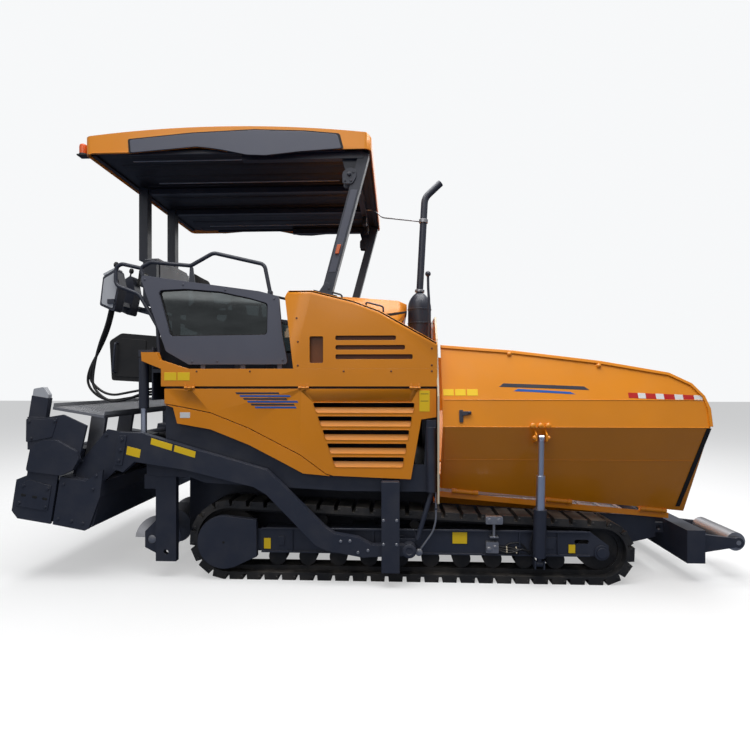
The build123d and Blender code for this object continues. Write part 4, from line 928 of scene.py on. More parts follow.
@dataclass
class Studio:
    """Camera, floor and light."""

    camera_place: tuple[float, float, float] = (0.14, -5.40, 1.705)
    camera_turn: float = 2.4
    lens: float = 24.0
    sensor: float = 36.0
    shift: float = 0.012
    floor_half: float = 40.0
    floor_glow: float = 0.88
    floor_bounce: tuple[float, float, float] = (0.10, 0.12, 0.17)
    world_strength: float = 0.34
    aim: Point = (0, 0, 1.2)
    lamp_rows: Sequence[tuple[str, Point, float, float]] = (
        ("sky", (0.0, -0.8, 9.0), 9.0, 1300.0),
        ("fill", (-3.0, -9.0, 6.5), 6.0, 130.0),
        ("back", (2.0, 8.0, 6.0), 6.0, 120.0),
    )

    def build(self) -> None:
        """Make the whole studio."""
        bpy.context.scene.view_settings.view_transform = "Standard"
        self.camera()
        self.floor()
        self.world()
        self.lamps()

    def camera(self) -> None:
        """Make the camera at the photograph's place."""
        data = bpy.data.cameras.new("camera")
        data.lens, data.sensor_width, data.shift_y = self.lens, self.sensor, self.shift
        camera = bpy.data.objects.new("camera", data)
        camera.location = self.camera_place
        camera.rotation_euler = (math.radians(90), 0, math.radians(self.camera_turn))
        bpy.context.scene.collection.objects.link(camera)
        bpy.context.scene.camera = camera

    def floor(self) -> None:
        """Make the plain pale floor."""
        half = self.floor_half
        mesh = bpy.data.meshes.new("floor")
        corners = [(-half, -half, 0), (half, -half, 0), (half, half, 0), (-half, half, 0)]
        mesh.from_pydata(corners, [], [(0, 1, 2, 3)])
        floor = bpy.data.objects.new("floor", mesh)
        bpy.context.scene.collection.objects.link(floor)
        shader = Shader("floor")
        matt = shader.node("ShaderNodeBsdfDiffuse", Color=srgb(250, 250, 250))
        glow = shader.node("ShaderNodeEmission", Color=(*[self.floor_glow] * 3, 1))
        seen = shader.node("ShaderNodeMixShader", Fac=0.5)
        shader.tree.links.new(matt.outputs[0], seen.inputs[1])
        shader.tree.links.new(glow.outputs[0], seen.inputs[2])
        bounce = shader.node("ShaderNodeBsdfDiffuse", Color=self.floor_bounce)
        path = shader.node("ShaderNodeLightPath").outputs
        camera_ray, through_ray = Value(shader, path["Is Camera Ray"]), Value(shader, path["Is Transmission Ray"])
        shown = shader.math("MAXIMUM", camera_ray, through_ray)
        mixed = shader.node("ShaderNodeMixShader", Fac=shown)
        shader.tree.links.new(bounce.outputs[0], mixed.inputs[1])
        shader.tree.links.new(seen.outputs[0], mixed.inputs[2])
        mesh.materials.append(shader.finish(mixed))

    def world(self) -> None:
        """Make a white backdrop that lights the object more softly than it looks."""
        world = bpy.data.worlds.new("world")
        bpy.context.scene.world = world
        world.use_nodes = True
        tree = world.node_tree
        tree.nodes.clear()
        path = tree.nodes.new("ShaderNodeLightPath")
        shown = tree.nodes.new("ShaderNodeMath")
        shown.operation = "MAXIMUM"
        tree.links.new(path.outputs["Is Camera Ray"], shown.inputs[0])
        tree.links.new(path.outputs["Is Transmission Ray"], shown.inputs[1])
        seen = tree.nodes.new("ShaderNodeBackground")
        seen.inputs["Color"].default_value = (0.93, 0.94, 0.95, 1)
        light = tree.nodes.new("ShaderNodeBackground")
        light.inputs["Color"].default_value = (0.93, 0.96, 1.0, 1)
        light.inputs["Strength"].default_value = self.world_strength
        mixed = tree.nodes.new("ShaderNodeMixShader")
        tree.links.new(shown.outputs[0], mixed.inputs[0])
        tree.links.new(light.outputs[0], mixed.inputs[1])
        tree.links.new(seen.outputs[0], mixed.inputs[2])
        output = tree.nodes.new("ShaderNodeOutputWorld")
        tree.links.new(mixed.outputs[0], output.inputs["Surface"])

    def lamps(self) -> None:
        """Make the large soft lamps: an overhead sky, a low fill from the camera's side and one behind."""
        for name, place, size, power in self.lamp_rows:
            data = bpy.data.lights.new(name, "AREA")
            data.size, data.energy = size, power
            lamp = bpy.data.objects.new(name, data)
            lamp.location = place
            lamp.rotation_euler = (Vector(self.aim) - Vector(place)).to_track_quat("-Z", "Y").to_euler()
            bpy.context.scene.collection.objects.link(lamp)


# ------------------------------------------------------------------ sub-assemblies


def soft(outline: Sequence[Point], radius: float) -> list[tuple[float, float]]:
    """Return a closed outline with rounded corners.

    Args:
        outline: Its corners.
        radius: How far before each corner it starts to turn.

    Returns:
        The eased outline.
    """
    result = []
    count = len(outline)
    for index, corner in enumerate(outline):
        middle = Vector(corner)
        before, after = Vector(outline[index - 1]) - middle, Vector(outline[(index + 1) % count]) - middle
        start = middle + before.normalized() * min(radius, before.length * 0.45)
        end = middle + after.normalized() * min(radius, after.length * 0.45)
        for step in range(SOFT_STEPS + 1):
            share = step / SOFT_STEPS
            result.append(tuple(start.lerp(middle, share).lerp(middle.lerp(end, share), share)))
    return result


def oblong(rear: float, front: float, low: float, high: float) -> list[tuple[float, float]]:
    """Return the four corners of an upright rectangle.

    Args:
        rear: Its least X.
        front: Its greatest X.
        low: Its least Z.
        high: Its greatest Z.

    Returns:
        X and Z of the corners, in order.
    """
    return [(rear, low), (front, low), (front, high), (rear, high)]


@dataclass
class Undercarriage:
    """Hardware on the track frames: drive covers, gussets, hoses, lubricator, plates and the bent rod."""

    drive: Point = (-1340, 332)
    idler: Point = (1870, 270)
    cover_out: float = 1160
    cover_radius: float = 227
    web_out: float = 1112
    shoe_count: int = 54
    shoe_out: float = 1120
    shoe_inset: float = 24
    loop_rear: Point = (-1310, 340)
    loop_front: Point = (1870, 270)
    labels: Sequence[Sequence[float]] = ((616, 750, 327, 435), (1591, 1657, 259, 341), (-1007, -938, 262, 364))

    def build(self, frame: dict) -> None:
        """Make every piece on both sides.
        """
        self.covers()
        self.webs()
        self.lubricator()
        self.hoses()
        self.rod()
        self.plates(Skin(frame, "track_frames"))
        self.shoe_bolts()

    def covers(self) -> None:
        """Box in the final drive, round behind and square in front, and cap the idler."""
        x, z = self.drive
        turns = [math.radians(90 + k * 10) for k in range(19)]
        outline = [(x + self.cover_radius * math.cos(t), z + self.cover_radius * math.sin(t)) for t in turns]
        outline += [(x + 90, z - 212), (x + 240, z - 140), (x + 288, z - 120), (x + 284, z + 196)]
        hub = Shape()
        hub.slab(outline, self.web_out - 2, self.cover_out + 5)
        hub.disc((self.idler[0], -1123, self.idler[1]), OUTWARD, 44, 10)
        hub.mirror().make("drive_covers", "tractor", DARK, 4)
        hole = Shape()
        hole.disc((x, -self.cover_out - 5, z), OUTWARD, 11, 1.5)
        hole.mirror().make("drive_cover_plugs", "tractor", RUBBER, 0)

    def webs(self) -> None:
        """Weld gussets and step plates along the outer web."""
        ribs = Shape()
        for x in (-760, -420, -60, 300, 1180, 1500):
            ribs.slab(oblong(x, x + 12, 251, 439), self.web_out - 1, self.web_out + 14)
        ribs.slab(soft(oblong(-880, -820, 300, 380), 12), self.web_out - 1, self.web_out + 8)
        ribs.slab(soft(oblong(60, 220, 300, 395), 14), self.web_out - 1, self.web_out + 5)
        ribs.slab([(1390, 300), (1470, 300), (1500, 395), (1390, 395)], self.web_out - 1, self.web_out + 10)
        ribs.tube([(-980, -1121, 450), (1740, -1121, 450)], 5, 8)
        ribs.mirror().make("track_frame_gussets", "tractor", DARK, 1.5)

    def lubricator(self) -> None:
        """Stand the lubricator on its bracket above the web, with the valve block below."""
        block = Shape()
        block.box((930, 1000), (self.web_out - 2, 1165), (398, 410))
        block.tube([(965, -1147, 408), (965, -1147, 520)], 13)
        block.slab(soft(oblong(893, 1036, 515, 580), 12), 1126, 1172)
        for x in (925, 1003):
            block.disc((x, -1171, 548), OUTWARD, 17, 6)
        block.slab(soft(oblong(900, 1005, 265, 360), 8), self.web_out - 2, 1148)
        block.lathe((925, -1147, 300), OUTWARD, [(20, 0), (20, 14), (10, 18)])
        block.lathe((975, -1147, 320), OUTWARD, [(13, 0), (13, 12), (7, 15)])
        block.mirror().make("lubricator", "tractor", STEEL, 2)

    def hoses(self) -> None:
        """Lay the clamped hydraulic lines in the web from the valve to the cylinder's foot."""
        lines = Shape()
        bands = Shape()
        for drop, out in ((0, 1126), (26, 1122), (-24, 1130)):
            route = [(1004, -out, 300 + drop * 0.5), (1100, -out - 8, 282 + drop), (1210, -out - 10, 300 - drop * 0.4)]
            route += [(1268, -out - 4, 268 + drop * 0.4)]
            lines.tube(route, 8, 10, 60)
            for x in (1070, 1150):
                share = (x - 1004) / 264
                middle = (x, -out - 7, 300 + drop * 0.5 - 12 * math.sin(math.pi * share) + drop * 0.2)
                bands.lathe(middle, (1, 0, 0), [(10, 0), (10, 9)], 12)
        lines.tube([(1290, -1146, 250), (1262, -1150, 330), (1296, -1160, 470), (1302, -1196, 520)], 8, 10, 50)
        lines.tube([(1040, -1120, 290), (1090, -1120, 340), (1190, -1116, 350), (1240, -1116, 300)], 7, 10, 40)
        lines.mirror().make("track_frame_hoses", "tractor", PLASTIC, 0)
        bands.mirror().make("hose_bands", "tractor", CREAM, 0)

    def rod(self) -> None:
        """Hang the bent steel rod beside the tow guide, with its foot roller."""
        rod = Shape()
        rod.tube([(475, -1192, 931), (475, -1192, 555), (450, -1188, 454), (345, -1176, 300)], 9, 12, 40)
        rod.lathe((333, -1186, 277), (0, 1, 0), [(24, -8), (30, -4), (30, 14), (24, 18)])
        rod.mirror().make("bent_rod", "tractor", STEEL, 0)
        clips = Shape()
        clips.box((462, 488), (1150, 1204), (905, 921)).box((462, 488), (1150, 1204), (640, 654))
        clips.mirror().make("rod_clips", "tractor", DARK, 1.5)

    def plates(self, skin: Skin) -> None:
        """Fix the blank yellow plates on the web.

        Args:
            skin: The web's outer face.
        """
        backs, faces = Shape(), Shape()
        for rear, front, low, high in self.labels:
            backs.decal(skin, oblong(rear, front, low, high), 0.8)
            faces.decal(skin, oblong(rear + 5, front - 5, low + 5, high - 5), 1.6)
        backs.mirror().make("track_plate_borders", "tractor", PLASTIC, 0)
        faces.mirror().make("track_plates", "tractor", YELLOW, 0)

    def run(self, start: Point, end: Point, turn: float, share: float) -> tuple[float, float]:
        """Return a place on the track's loop between two wheels that stand on the ground.

        Args:
            start: X and radius of the wheel it leaves.
            end: X and radius of the wheel it reaches.
            turn: Angle of the loop's outward side.
            share: How far along it is, from 0 to 1.

        Returns:
            X and Z of the place.
        """
        reach = (start[1] - self.shoe_inset) * (1 - share) + (end[1] - self.shoe_inset) * share
        x = start[0] + (end[0] - start[0]) * share + reach * math.cos(turn)
        z = start[1] + (end[1] - start[1]) * share + reach * math.sin(turn)
        return x, z

    def shoe_bolts(self) -> None:
        """Bolt a pad to the end of every shoe, along the bottom, rear arc, top and front arc."""
        bolts = Fasteners("shoe_bolts", "tractor", TRACK, 8, 5)
        rear, front = self.loop_rear, self.loop_front
        span = math.hypot(front[0] - rear[0], front[1] - rear[1])
        lean = math.atan2(front[1] - rear[1], front[0] - rear[0])
        dip = math.acos((rear[1] - front[1]) / span)
        top, low = lean + dip, lean - dip
        straight = math.sqrt(span**2 - (rear[1] - front[1]) ** 2)
        rear_arc, front_arc = rear[1] * (2 * math.pi - 2 * dip), front[1] * 2 * dip
        total = 2 * straight + rear_arc + front_arc
        for k in range(self.shoe_count):
            way = k * total / self.shoe_count
            if way < straight:
                x, z = self.run(front, rear, low, way / straight)
            elif way < straight + rear_arc:
                x, z = self.run(rear, rear, low - (way - straight) / rear[1], 0)
            elif way < 2 * straight + rear_arc:
                x, z = self.run(rear, front, top, (way - straight - rear_arc) / straight)
            else:
                x, z = self.run(front, front, top - (way - 2 * straight - rear_arc) / front[1], 0)
            bolts.add((x, -self.shoe_out, z), OUTWARD)
        bolts.make()


@dataclass
class Hopper:
    """Trim on the hopper wings and the edge of its rear wall."""

    fold: Point = (1215, 1335)
    bend: Point = (1170, 1560)
    rim: Point = (985, 2035)
    lean: float = 0.534
    rim_line: Sequence[Point] = (
        (531, 2034), (1150, 1984), (1880, 1891), (2437, 1789), (2605, 1699), (2686, 1594), (2717, 1490), (2717, 1345)
    )
    rim_inner: Sequence[Point] = (
        (531, 2008), (1147, 1958), (1877, 1865), (2427, 1766), (2587, 1683), (2664, 1587), (2692, 1486), (2692, 1345)
    )
    rim_depth: float = 14
    tape_edges: Sequence[float] = (2072, 2212, 2359, 2513, 2668)
    tape_start: Point = (2072, 1567)
    tape_run: Point = (596, -24)
    tape_low: float = 10
    tape_high: float = 54
    tape_split: float = 0.56

    def out(self, z: float) -> float:
        """Return how far out the wing's face is at a height.

        Args:
            z: The height.

        Returns:
            The distance out.
        """
        if z < self.fold[1]:
            return self.fold[0] - self.lean * (self.fold[1] - z)
        low, high = (self.fold, self.bend) if z < self.bend[1] else (self.bend, self.rim)
        return low[0] + (high[0] - low[0]) * (z - low[1]) / (high[1] - low[1])

    def build(self, frame: dict) -> None:
        """Make the trim of both wings and the wall.
        """
        skin = Skin(frame, "wing_right")
        for side in Side:
            self.rim_fold(side)
            self.rubber(side)
            self.tape(side, skin)
            self.plates(side, skin)
            self.stripes(side, skin)
            self.lugs(side, skin)
        self.wall()

    def rim_fold(self, side: Side) -> None:
        """Fold the rim outward along the top and front edges.

        Args:
            side: Which wing.
        """
        shape = Shape()
        rings = []
        for (x, z), (inner_x, inner_z) in zip(self.rim_line, self.rim_inner):
            face, inner = self.out(z) - 1, self.out(inner_z) - 1
            ring = [(x, -face, z), (x, -face - self.rim_depth, z)]
            rings.append(ring + [(inner_x, -inner - self.rim_depth, inner_z), (inner_x, -inner, inner_z)])
        shape.loft(rings)
        shape.to(side).make(f"wing_rim_{side.word}", f"wing_{side.word}", ORANGE, 2)
        bead = Shape()
        for z, rear in ((self.fold[1], 545), (self.bend[1], 545), (1040, 552)):
            bead.tube([(rear, -self.out(z), z), (2688, -self.out(z), z)], 3.5, 8)
        bead.to(side).make(f"wing_weld_{side.word}", f"wing_{side.word}", ORANGE, 0)

    def rubber(self, side: Side) -> None:
        """Clamp the rubber strip down the lower panel's front edge.

        Args:
            side: Which wing.
        """
        shape = Shape()
        rings = []
        for z in (1330, 1100, 850, 600):
            x = 2704 - (1330 - z) * 0.052
            face = self.out(z)
            rings.append([(x - 32, -face + 1, z), (x - 32, -face - 7, z), (x + 4, -face - 7, z), (x + 4, -face + 1, z)])
        shape.loft(rings)
        shape.to(side).make(f"wing_rubber_{side.word}", f"wing_{side.word}", RUBBER, 1.5)

    def tape(self, side: Side, skin: Skin) -> None:
        """Stick the red and white reflecting tape near the front.

        Args:
            side: Which wing.
            skin: The wing's outer face.
        """
        red, white = Shape(), Shape()
        (start, height), (run, rise) = self.tape_start, self.tape_run
        low, high = self.tape_low, self.tape_high
        for rear, front in zip(self.tape_edges, self.tape_edges[1:]):
            z_rear, z_front = (height + rise * (x - start) / run for x in (rear, front))
            split = rear + (front - rear) * self.tape_split
            z_split = z_rear + (z_front - z_rear) * self.tape_split
            for form, left, z_left, right, z_right in (
                (red, rear, z_rear, split, z_split),
                (white, split, z_split, front, z_front),
            ):
                corners = [(left, z_left + low), (right, z_right + low), (right, z_right + high), (left, z_left + high)]
                form.decal(skin, corners, 0.8)
        red.to(side).make(f"tape_red_{side.word}", f"wing_{side.word}", RED, 0)
        white.to(side).make(f"tape_white_{side.word}", f"wing_{side.word}", WHITE, 0)

    def plates(self, side: Side, skin: Skin) -> None:
        """Fix the strip of three blank yellow plates above the bend.

        Args:
            side: Which wing.
            skin: The wing's outer face.
        """
        faces = Shape()
        for rear, front in ((540, 628), (640, 728), (740, 830)):
            faces.decal(skin, oblong(rear, front, 1594, 1648), 1.2)
        faces.to(side).make(f"wing_plates_{side.word}", f"wing_{side.word}", YELLOW, 0)

    def stripes(self, side: Side, skin: Skin) -> None:
        """Paint a generic pair of slim swept bands in grey and blue.

        Args:
            side: Which wing.
            skin: The wing's outer face.
        """
        for name, finish, low, high, rear, front in (
            ("dark", SLATE, 1668, 1698, 1010, 1760),
            ("blue", BLUE, 1632, 1652, 1130, 1640),
        ):
            band = Shape()
            outline = [(rear, low), ((rear + front) / 2, low - 12), (front, low - 26), (front - 40, high - 26)]
            band.decal(skin, outline + [((rear + front) / 2, high - 12), (rear + 40, high)], 0.8)
            band.to(side).make(f"wing_band_{name}_{side.word}", f"wing_{side.word}", finish, 0)

    def lugs(self, side: Side, skin: Skin) -> None:
        """Weld the lifting eyes near the rim, the latch, and the balls over the cylinder's fork.

        Args:
            side: Which wing.
            skin: The wing's outer face.
        """
        body = f"wing_{side.word}"
        eyes = Shape()
        for x, z in ((1121, 1950), (1866, 1846)):
            place, facing = skin.from_right(x, z)
            eyes.lathe(place - facing * 2, facing, [(20, 0), (20, 10), (15, 14), (15, 22), (8, 26)], 16)
        eyes.to(side).make(f"wing_eyes_{side.word}", body, ORANGE, 0)
        balls = Shape()
        profile = [(12, 0), (12, 8), (20, 12), (24, 20), (22, 30), (12, 36), (4, 38)]
        for x in (1268, 1330, 1392):
            place, facing = skin.from_right(x, 1345)
            balls.lathe(place - facing * 2, facing, profile, 18)
        balls.to(side).make(f"wing_knobs_{side.word}", body, ORANGE, 0)
        latch = Shape()
        latch.decal(skin, soft(oblong(668, 700, 1372, 1474), 8), 10)
        latch.decal(skin, soft([(690, 1424), (768, 1440), (768, 1462), (690, 1462)], 6), 18)
        place, facing = skin.from_right(752, 1450)
        latch.lathe(place + facing * 14, facing, [(13, 0), (13, 12), (8, 16)], 14)
        latch.to(side).make(f"wing_latch_{side.word}", body, DARK, 1)
        edge = Shape()
        edge.tube([(548, -self.out(1332) - 1, 1332), (548, -self.out(770) - 1, 770)], 4, 8)
        edge.to(side).make(f"wing_edge_bead_{side.word}", body, ORANGE, 0)

    def wall(self) -> None:
        """Cap the rear wall's edge with its pale strip, and bolt the wall."""
        strip = Shape()
        edge = [(1250, 702), (1250, 1590), (1075, 2080), (902, 2288)]
        for (out, z), (next_out, next_z) in zip(edge, edge[1:]):
            strip.across([(out - 2, z), (next_out - 2, next_z), (next_out + 3, next_z + 2), (out + 3, z)], 483, 499)
        strip.mirror().make("wall_edge_strip", "tractor", CREAM, 0.5)
        spots = [
            (497, -out, z) for out in range(60, 1200, 120) for z in (1640, 2230) if z < 2000 or out < 880
        ]
        Fasteners("wall_bolts", "tractor", DARK, 9, 6).row(spots, (1, 0, 0)).make()


@dataclass
class Body:
    """Side doors with broad louvres, the slotted hood, painted stripes, plates and small fittings."""

    out: float = 1200
    louvre_top: Point = (-575, 305, 1550)
    louvre_bottom: Point = (-375, 195, 978)
    louvre_count: int = 5
    opening: float = 94
    slots: Sequence[Sequence[float]] = (
        (-370, 140, 2062, 2100), (-370, 215, 1982, 2020), (-370, 280, 1902, 1942), (-590, -475, 1870, 2095)
    )

    def build(self, frame: dict) -> None:
        """Make the doors, the hood and all that is fixed to them.
        """
        for side in Side:
            self.door(frame, side)
        self.hood(frame)
        self.stripes()
        self.plates()
        self.fittings()

    def louvre(self, index: int) -> tuple[float, float, float, float]:
        """Return the rear X, front X, low Z and high Z of one louvre.

        Args:
            index: Its number from the top.

        Returns:
            Its four limits.
        """
        share = (index + 0.5) / self.louvre_count
        rear, front, middle = (
            low + (high - low) * share for low, high in zip(self.louvre_top, self.louvre_bottom)
        )
        return rear, front, middle - self.opening / 2, middle + self.opening / 2

    def door(self, frame: dict, side: Side) -> None:
        """Open the door's louvres to their full height and fit their sloping blades.

        Args:
            side: Which door.
        """
        cutter, blades = Shape(), Shape()
        for index in range(self.louvre_count):
            rear, front, low, high = self.louvre(index)
            outline = [(rear - 12, high), (front + 6, high), (front - 6, low), (rear + 20, low)]
            cutter.slab(soft(outline, 16), self.out - 34, self.out + 2)
            face, back = self.out - 1, self.out - 27
            blades.across([(face, low - 6), (face, low + 3), (back, high - 44), (back, high - 54)], rear - 6, front + 2)
            inner = soft([(rear - 6, high - 6), (front + 1, high - 6), (front - 9, low + 6), (rear + 24, low + 6)], 14)
            blades.hoop(soft(outline, 16), inner, self.out - 0.5, self.out + 2.5)
        name = f"door_{side.word}"
        carved(frame, name, name, cutter.to(side), blades.to(side), ORANGE)

    def hood(self, frame: dict) -> None:
        """Press the slots and the square recess into both sides of the hood, with painted shade on the pockets' floors
        and walls.
        """
        cutter, floors = Shape(), Shape()
        for rear, front, low, high in self.slots:
            cutter.slab(soft(oblong(rear, front, low, high), 14), self.out - 12, self.out + 2)
            floors.slab(oblong(rear - 10, front + 10, low - 10, high + 10), self.out - 42, self.out - 36)
            wide = soft(oblong(rear - 4, front + 4, low - 4, high + 4), 16)
            floors.hoop(soft(oblong(rear, front, low, high), 14), wide, self.out - 5, self.out - 38)
        # the pocket floors and walls take the darker orange as painted shade in the recesses
        floors.mirror().make("hood_pockets", "tractor", ORANGE_SHADE, 0)
        carved(frame, "hood", "tractor", cutter.mirror(), Shape(), ORANGE)

    def stripes(self) -> None:
        """Paint a generic band of level bars on each door, in dark grey and blue."""
        for side in Side:
            for name, finish, rows in (
                ("dark", SLATE, ((1606, 1622, -1225, -845), (1558, 1574, -1160, -780), (1510, 1526, -1095, -715))),
                ("blue", BLUE, ((1582, 1598, -1190, -750), (1534, 1550, -1125, -685), (1486, 1502, -1060, -700))),
            ):
                bars = Shape()
                for low, high, rear, front in rows:
                    slanted = [(rear, high), (rear + 9, low), (front, low), (front - 9, high)]
                    bars.slab(slanted, self.out - 0.5, self.out + 0.9)
                bars.to(side).make(f"door_bars_{name}_{side.word}", f"door_{side.word}", finish, 0)

    def plates(self) -> None:
        """Fix the blank plates on the band and the doors."""
        for side in Side:
            door = Shape()
            door.slab(soft(oblong(336, 422, 1462, 1638), 5), self.out - 0.5, self.out + 1.0)
            door.to(side).make(f"door_plate_{side.word}", f"door_{side.word}", YELLOW, 0)
            inner = Shape()
            for low in (1548, 1608):
                inner.slab(oblong(346, 412, low, low + 4), self.out, self.out + 1.6)
            inner.to(side).make(f"door_plate_lines_{side.word}", f"door_{side.word}", PLASTIC, 0)
            white = Shape()
            white.slab(soft(oblong(-1704, -1617, 1402, 1450), 5), self.out - 0.5, self.out + 1.0)
            white.to(side).make(f"door_white_plate_{side.word}", f"door_{side.word}", WHITE, 0)
        band = Shape()
        for rear, front in ((-1842, -1735), (-1726, -1620)):
            band.slab(soft(oblong(rear, front, 1722, 1792), 4), self.out - 0.5, self.out + 1.0)
        band.mirror().make("band_plates", "tractor", YELLOW, 0)

    def fittings(self) -> None:
        """Add the bands' bolts, the crown's painted shadow wedge and grille, handles, the filler, the pre-cleaner and
        the deck valves.
        """
        spots = [(x, 1800) for x in (-1560, -1100, -300, 100, 440)]
        spots += [(-690, 1850), (-690, 2050), (-700, 2250), (440, 1850), (440, 1990)]
        # the band bolts take the darker orange: painted shade on the orange bolt heads
        caps = Fasteners("band_bolts", "tractor", ORANGE_SHADE, 6, 4, Head.ROUND)
        caps.row([(x, -self.out, z) for x, z in spots], OUTWARD).make()
        trim = Shape()
        # the black wedge under the crown's front is painted shadow; the three bars above it are the grille
        trim.slab([(-52, 2300), (236, 2334), (236, 2316), (60, 2288)], 700, 991)
        for z in (2346, 2362, 2378):
            trim.box((234, 239), (-880, 880), (z, z + 6))
        trim.mirror().make("crown_grille", "tractor", PLASTIC, 1)
        rails = Shape()
        for x in (-480, -120):
            z = 2490 - (x + 575) * 0.2535 if x < -220 else 2400 - (x + 220) * 0.378
            corners = ((x, z - 4), (x, z + 42), (x + 150, z + 2), (x + 150, z - 50))
            rails.tube([(along, -1060, height) for along, height in corners], 8, 10, 20)
        rails.mirror().make("hood_handles", "tractor", DARK, 0)
        caps_top = Shape()
        caps_top.lathe((-430, 520, 2462), UP, [(62, -8), (62, 16), (54, 26), (20, 30)], 28)
        bowl = [(52, -12), (52, 60), (84, 66), (84, 118), (76, 130), (30, 136)]
        caps_top.lathe((-160, 480, 2440), UP, bowl, 32)
        caps_top.make("filler_and_cleaner", "tractor", PLASTIC, 1)
        valve = Shape()
        valve.box((-832, -738), (1010, 1072), (2098, 2150))
        for x, high in ((-812, 30), (-768, 42)):
            valve.lathe((x, -1041, 2150), UP, [(14, -1), (14, high - 6), (9, high)], 14)
        valve.mirror().make("deck_valves", "tractor", CREAM, 1.5)


@dataclass
class Station:
    """Padded seats, consoles and the control box behind the platform."""

    seat_out: float = 580

    def build(self) -> None:
        """Make the seats and the controls."""
        for side in Side:
            self.seat(side)
        self.consoles()
        self.control_box()
        self.rails()

    def seat(self, side: Side) -> None:
        """Upholster one seat: base, back, two arms and the shell behind.

        Args:
            side: Which seat.
        """
        back_lean = math.radians(11)
        parts = (
            ("base", (-1535, 0, 2232), (238, 196, 50), 0.0, 3),
            ("back", (-1735, 0, 2512), (228, 196, 44), math.radians(90) + back_lean, 4),
            ("arm_outer", (-1575, 214, 2420), (150, 21, 20), 0.0, 0),
            ("arm_inner", (-1575, -214, 2420), (150, 21, 20), 0.0, 0),
        )
        for word, centre, half, turn, channels in parts:
            piece = self.cushion(f"seat_{word}_{side.word}", centre, half, turn, channels, side)
            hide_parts("seats")
        shell = Shape()
        for out in (self.seat_out - 226, self.seat_out + 214):
            shell.slab([(-1700, 2230), (-1560, 2230), (-1500, 2404), (-1560, 2404), (-1640, 2290)], out, out + 12)
        shell.box((-1700, -1370), (self.seat_out - 170, self.seat_out + 170), (2176, 2194))
        lean = [(-1690, 2200), (-1668, 2204), (-1760, 2700), (-1786, 2696)]
        shell.slab([(x - 28, z) for x, z in lean], self.seat_out - 165, self.seat_out + 165)
        shell.to(side).make(f"seat_shell_{side.word}", "tractor", PLASTIC, 3)

    def cushion(
        self, name: str, centre: Point, half: Point, turn: float, channels: int, side: Side
    ) -> bpy.types.Object:
        """Model one crowned cushion as a closed form with sewn channels.

        Args:
            name: The piece's name.
            centre: X, offset out from the seat's middle, and Z.
            half: Half length, half width and half thickness.
            turn: Pitch about Y.
            channels: Number of sewn channels across it.
            side: Which seat.

        Returns:
            The padded piece.
        """
        count = 28
        work = bmesh.new()
        grid: dict[tuple[int, int, int], bmesh.types.BMVert] = {}
        lean = Matrix.Rotation(-turn, 3, "Y")
        for face in (1, -1):
            for i in range(count + 1):
                for j in range(count + 1):
                    rim = i in (0, count) or j in (0, count)
                    if rim and face < 0:
                        grid[i, j, face] = grid[i, j, 1]
                        continue
                    u, v = math.sin(math.pi * (i / count - 0.5)), math.sin(math.pi * (j / count - 0.5))
                    body = ((1 - abs(u) ** 6) * (1 - abs(v) ** 6)) ** 0.4 if not rim else 0.0
                    crown = 1.0 + 0.22 * (1 - u * u) * (1 - v * v)
                    seam = 1.0
                    if channels and face > 0:
                        wave = abs(math.sin(math.pi * channels * (u + 1) / 2))
                        seam = 0.84 + 0.16 * min(1.0, wave * 2.4)
                    pinch_x, pinch_y = 1 - 0.03 * (1 - v * v), 1 - 0.04 * (1 - u * u)
                    local = Vector((u * half[0] * pinch_x, v * half[1] * pinch_y, face * body * half[2] * crown * seam))
                    spot = lean @ local
                    place = Vector((centre[0] + spot.x, -(self.seat_out + centre[1]) + spot.y, centre[2] + spot.z))
                    place.y *= -side.value
                    grid[i, j, face] = work.verts.new(place * MM)
        for face in (1, -1):
            for i in range(count):
                for j in range(count):
                    ring = (grid[i, j, face], grid[i + 1, j, face], grid[i + 1, j + 1, face], grid[i, j + 1, face])
                    work.faces.new(ring)
        bmesh.ops.recalc_face_normals(work, faces=work.faces[:])
        data = bpy.data.meshes.new(name)
        work.to_mesh(data)
        work.free()
        return finished(name, data, "tractor", FABRIC, smooth=60)

    def consoles(self) -> None:
        """Face both outer consoles with a pale panel, switches, a lever and a display."""
        panel = Shape()
        panel.slab(soft([(-2438, 2622), (-2344, 2676), (-2318, 2560), (-2362, 2360), (-2462, 2404)], 14), 1079, 1086)
        panel.slab(soft([(-2452, 2668), (-2345, 2722), (-2335, 2706), (-2442, 2650)], 3), 962, 1078)
        panel.mirror().make("console_panels", "tractor", PANEL, 1)
        switches = Fasteners("console_switches", "tractor", PLASTIC, 7, 9, Head.ROUND)
        shares = [(k + 0.5) / 5 for k in range(5)]
        spots = [(-2448 + 105 * share, -out, 2659 + 55 * share) for share in shares for out in (985, 1020, 1055)]
        switches.row(spots, (-0.46, 0, 0.89)).make()
        levers = Shape()
        for out in (760, 1020):
            levers.tube([(-2380, -out, 2690), (-2370, -out, 2742)], 7, 10)
            levers.lathe((-2370, -out, 2736), (0.2, 0, 1), [(10, 0), (19, 10), (21, 30), (14, 46), (6, 50)], 16)
        levers.slab([(-2300, 2620), (-2288, 2622), (-2270, 2760), (-2282, 2762)], 620, 780)
        levers.mirror().make("console_levers", "tractor", PLASTIC, 2)
        display = Shape()
        display.slab([(-2287, 2636), (-2285.5, 2636), (-2268.5, 2748), (-2270, 2748)], 636, 764)
        display.mirror().make("console_displays", "tractor", SCREEN_GLASS, 0)
        desk = Shape()
        desk.across(soft([(-380, 2960), (380, 2960), (350, 2984), (-350, 2984)], 8), -2436, -2304)
        desk.slab(oblong(-2298, -2292, 2700, 2930), -330, 330)
        desk.make("middle_panel", "tractor", PANEL, 2)

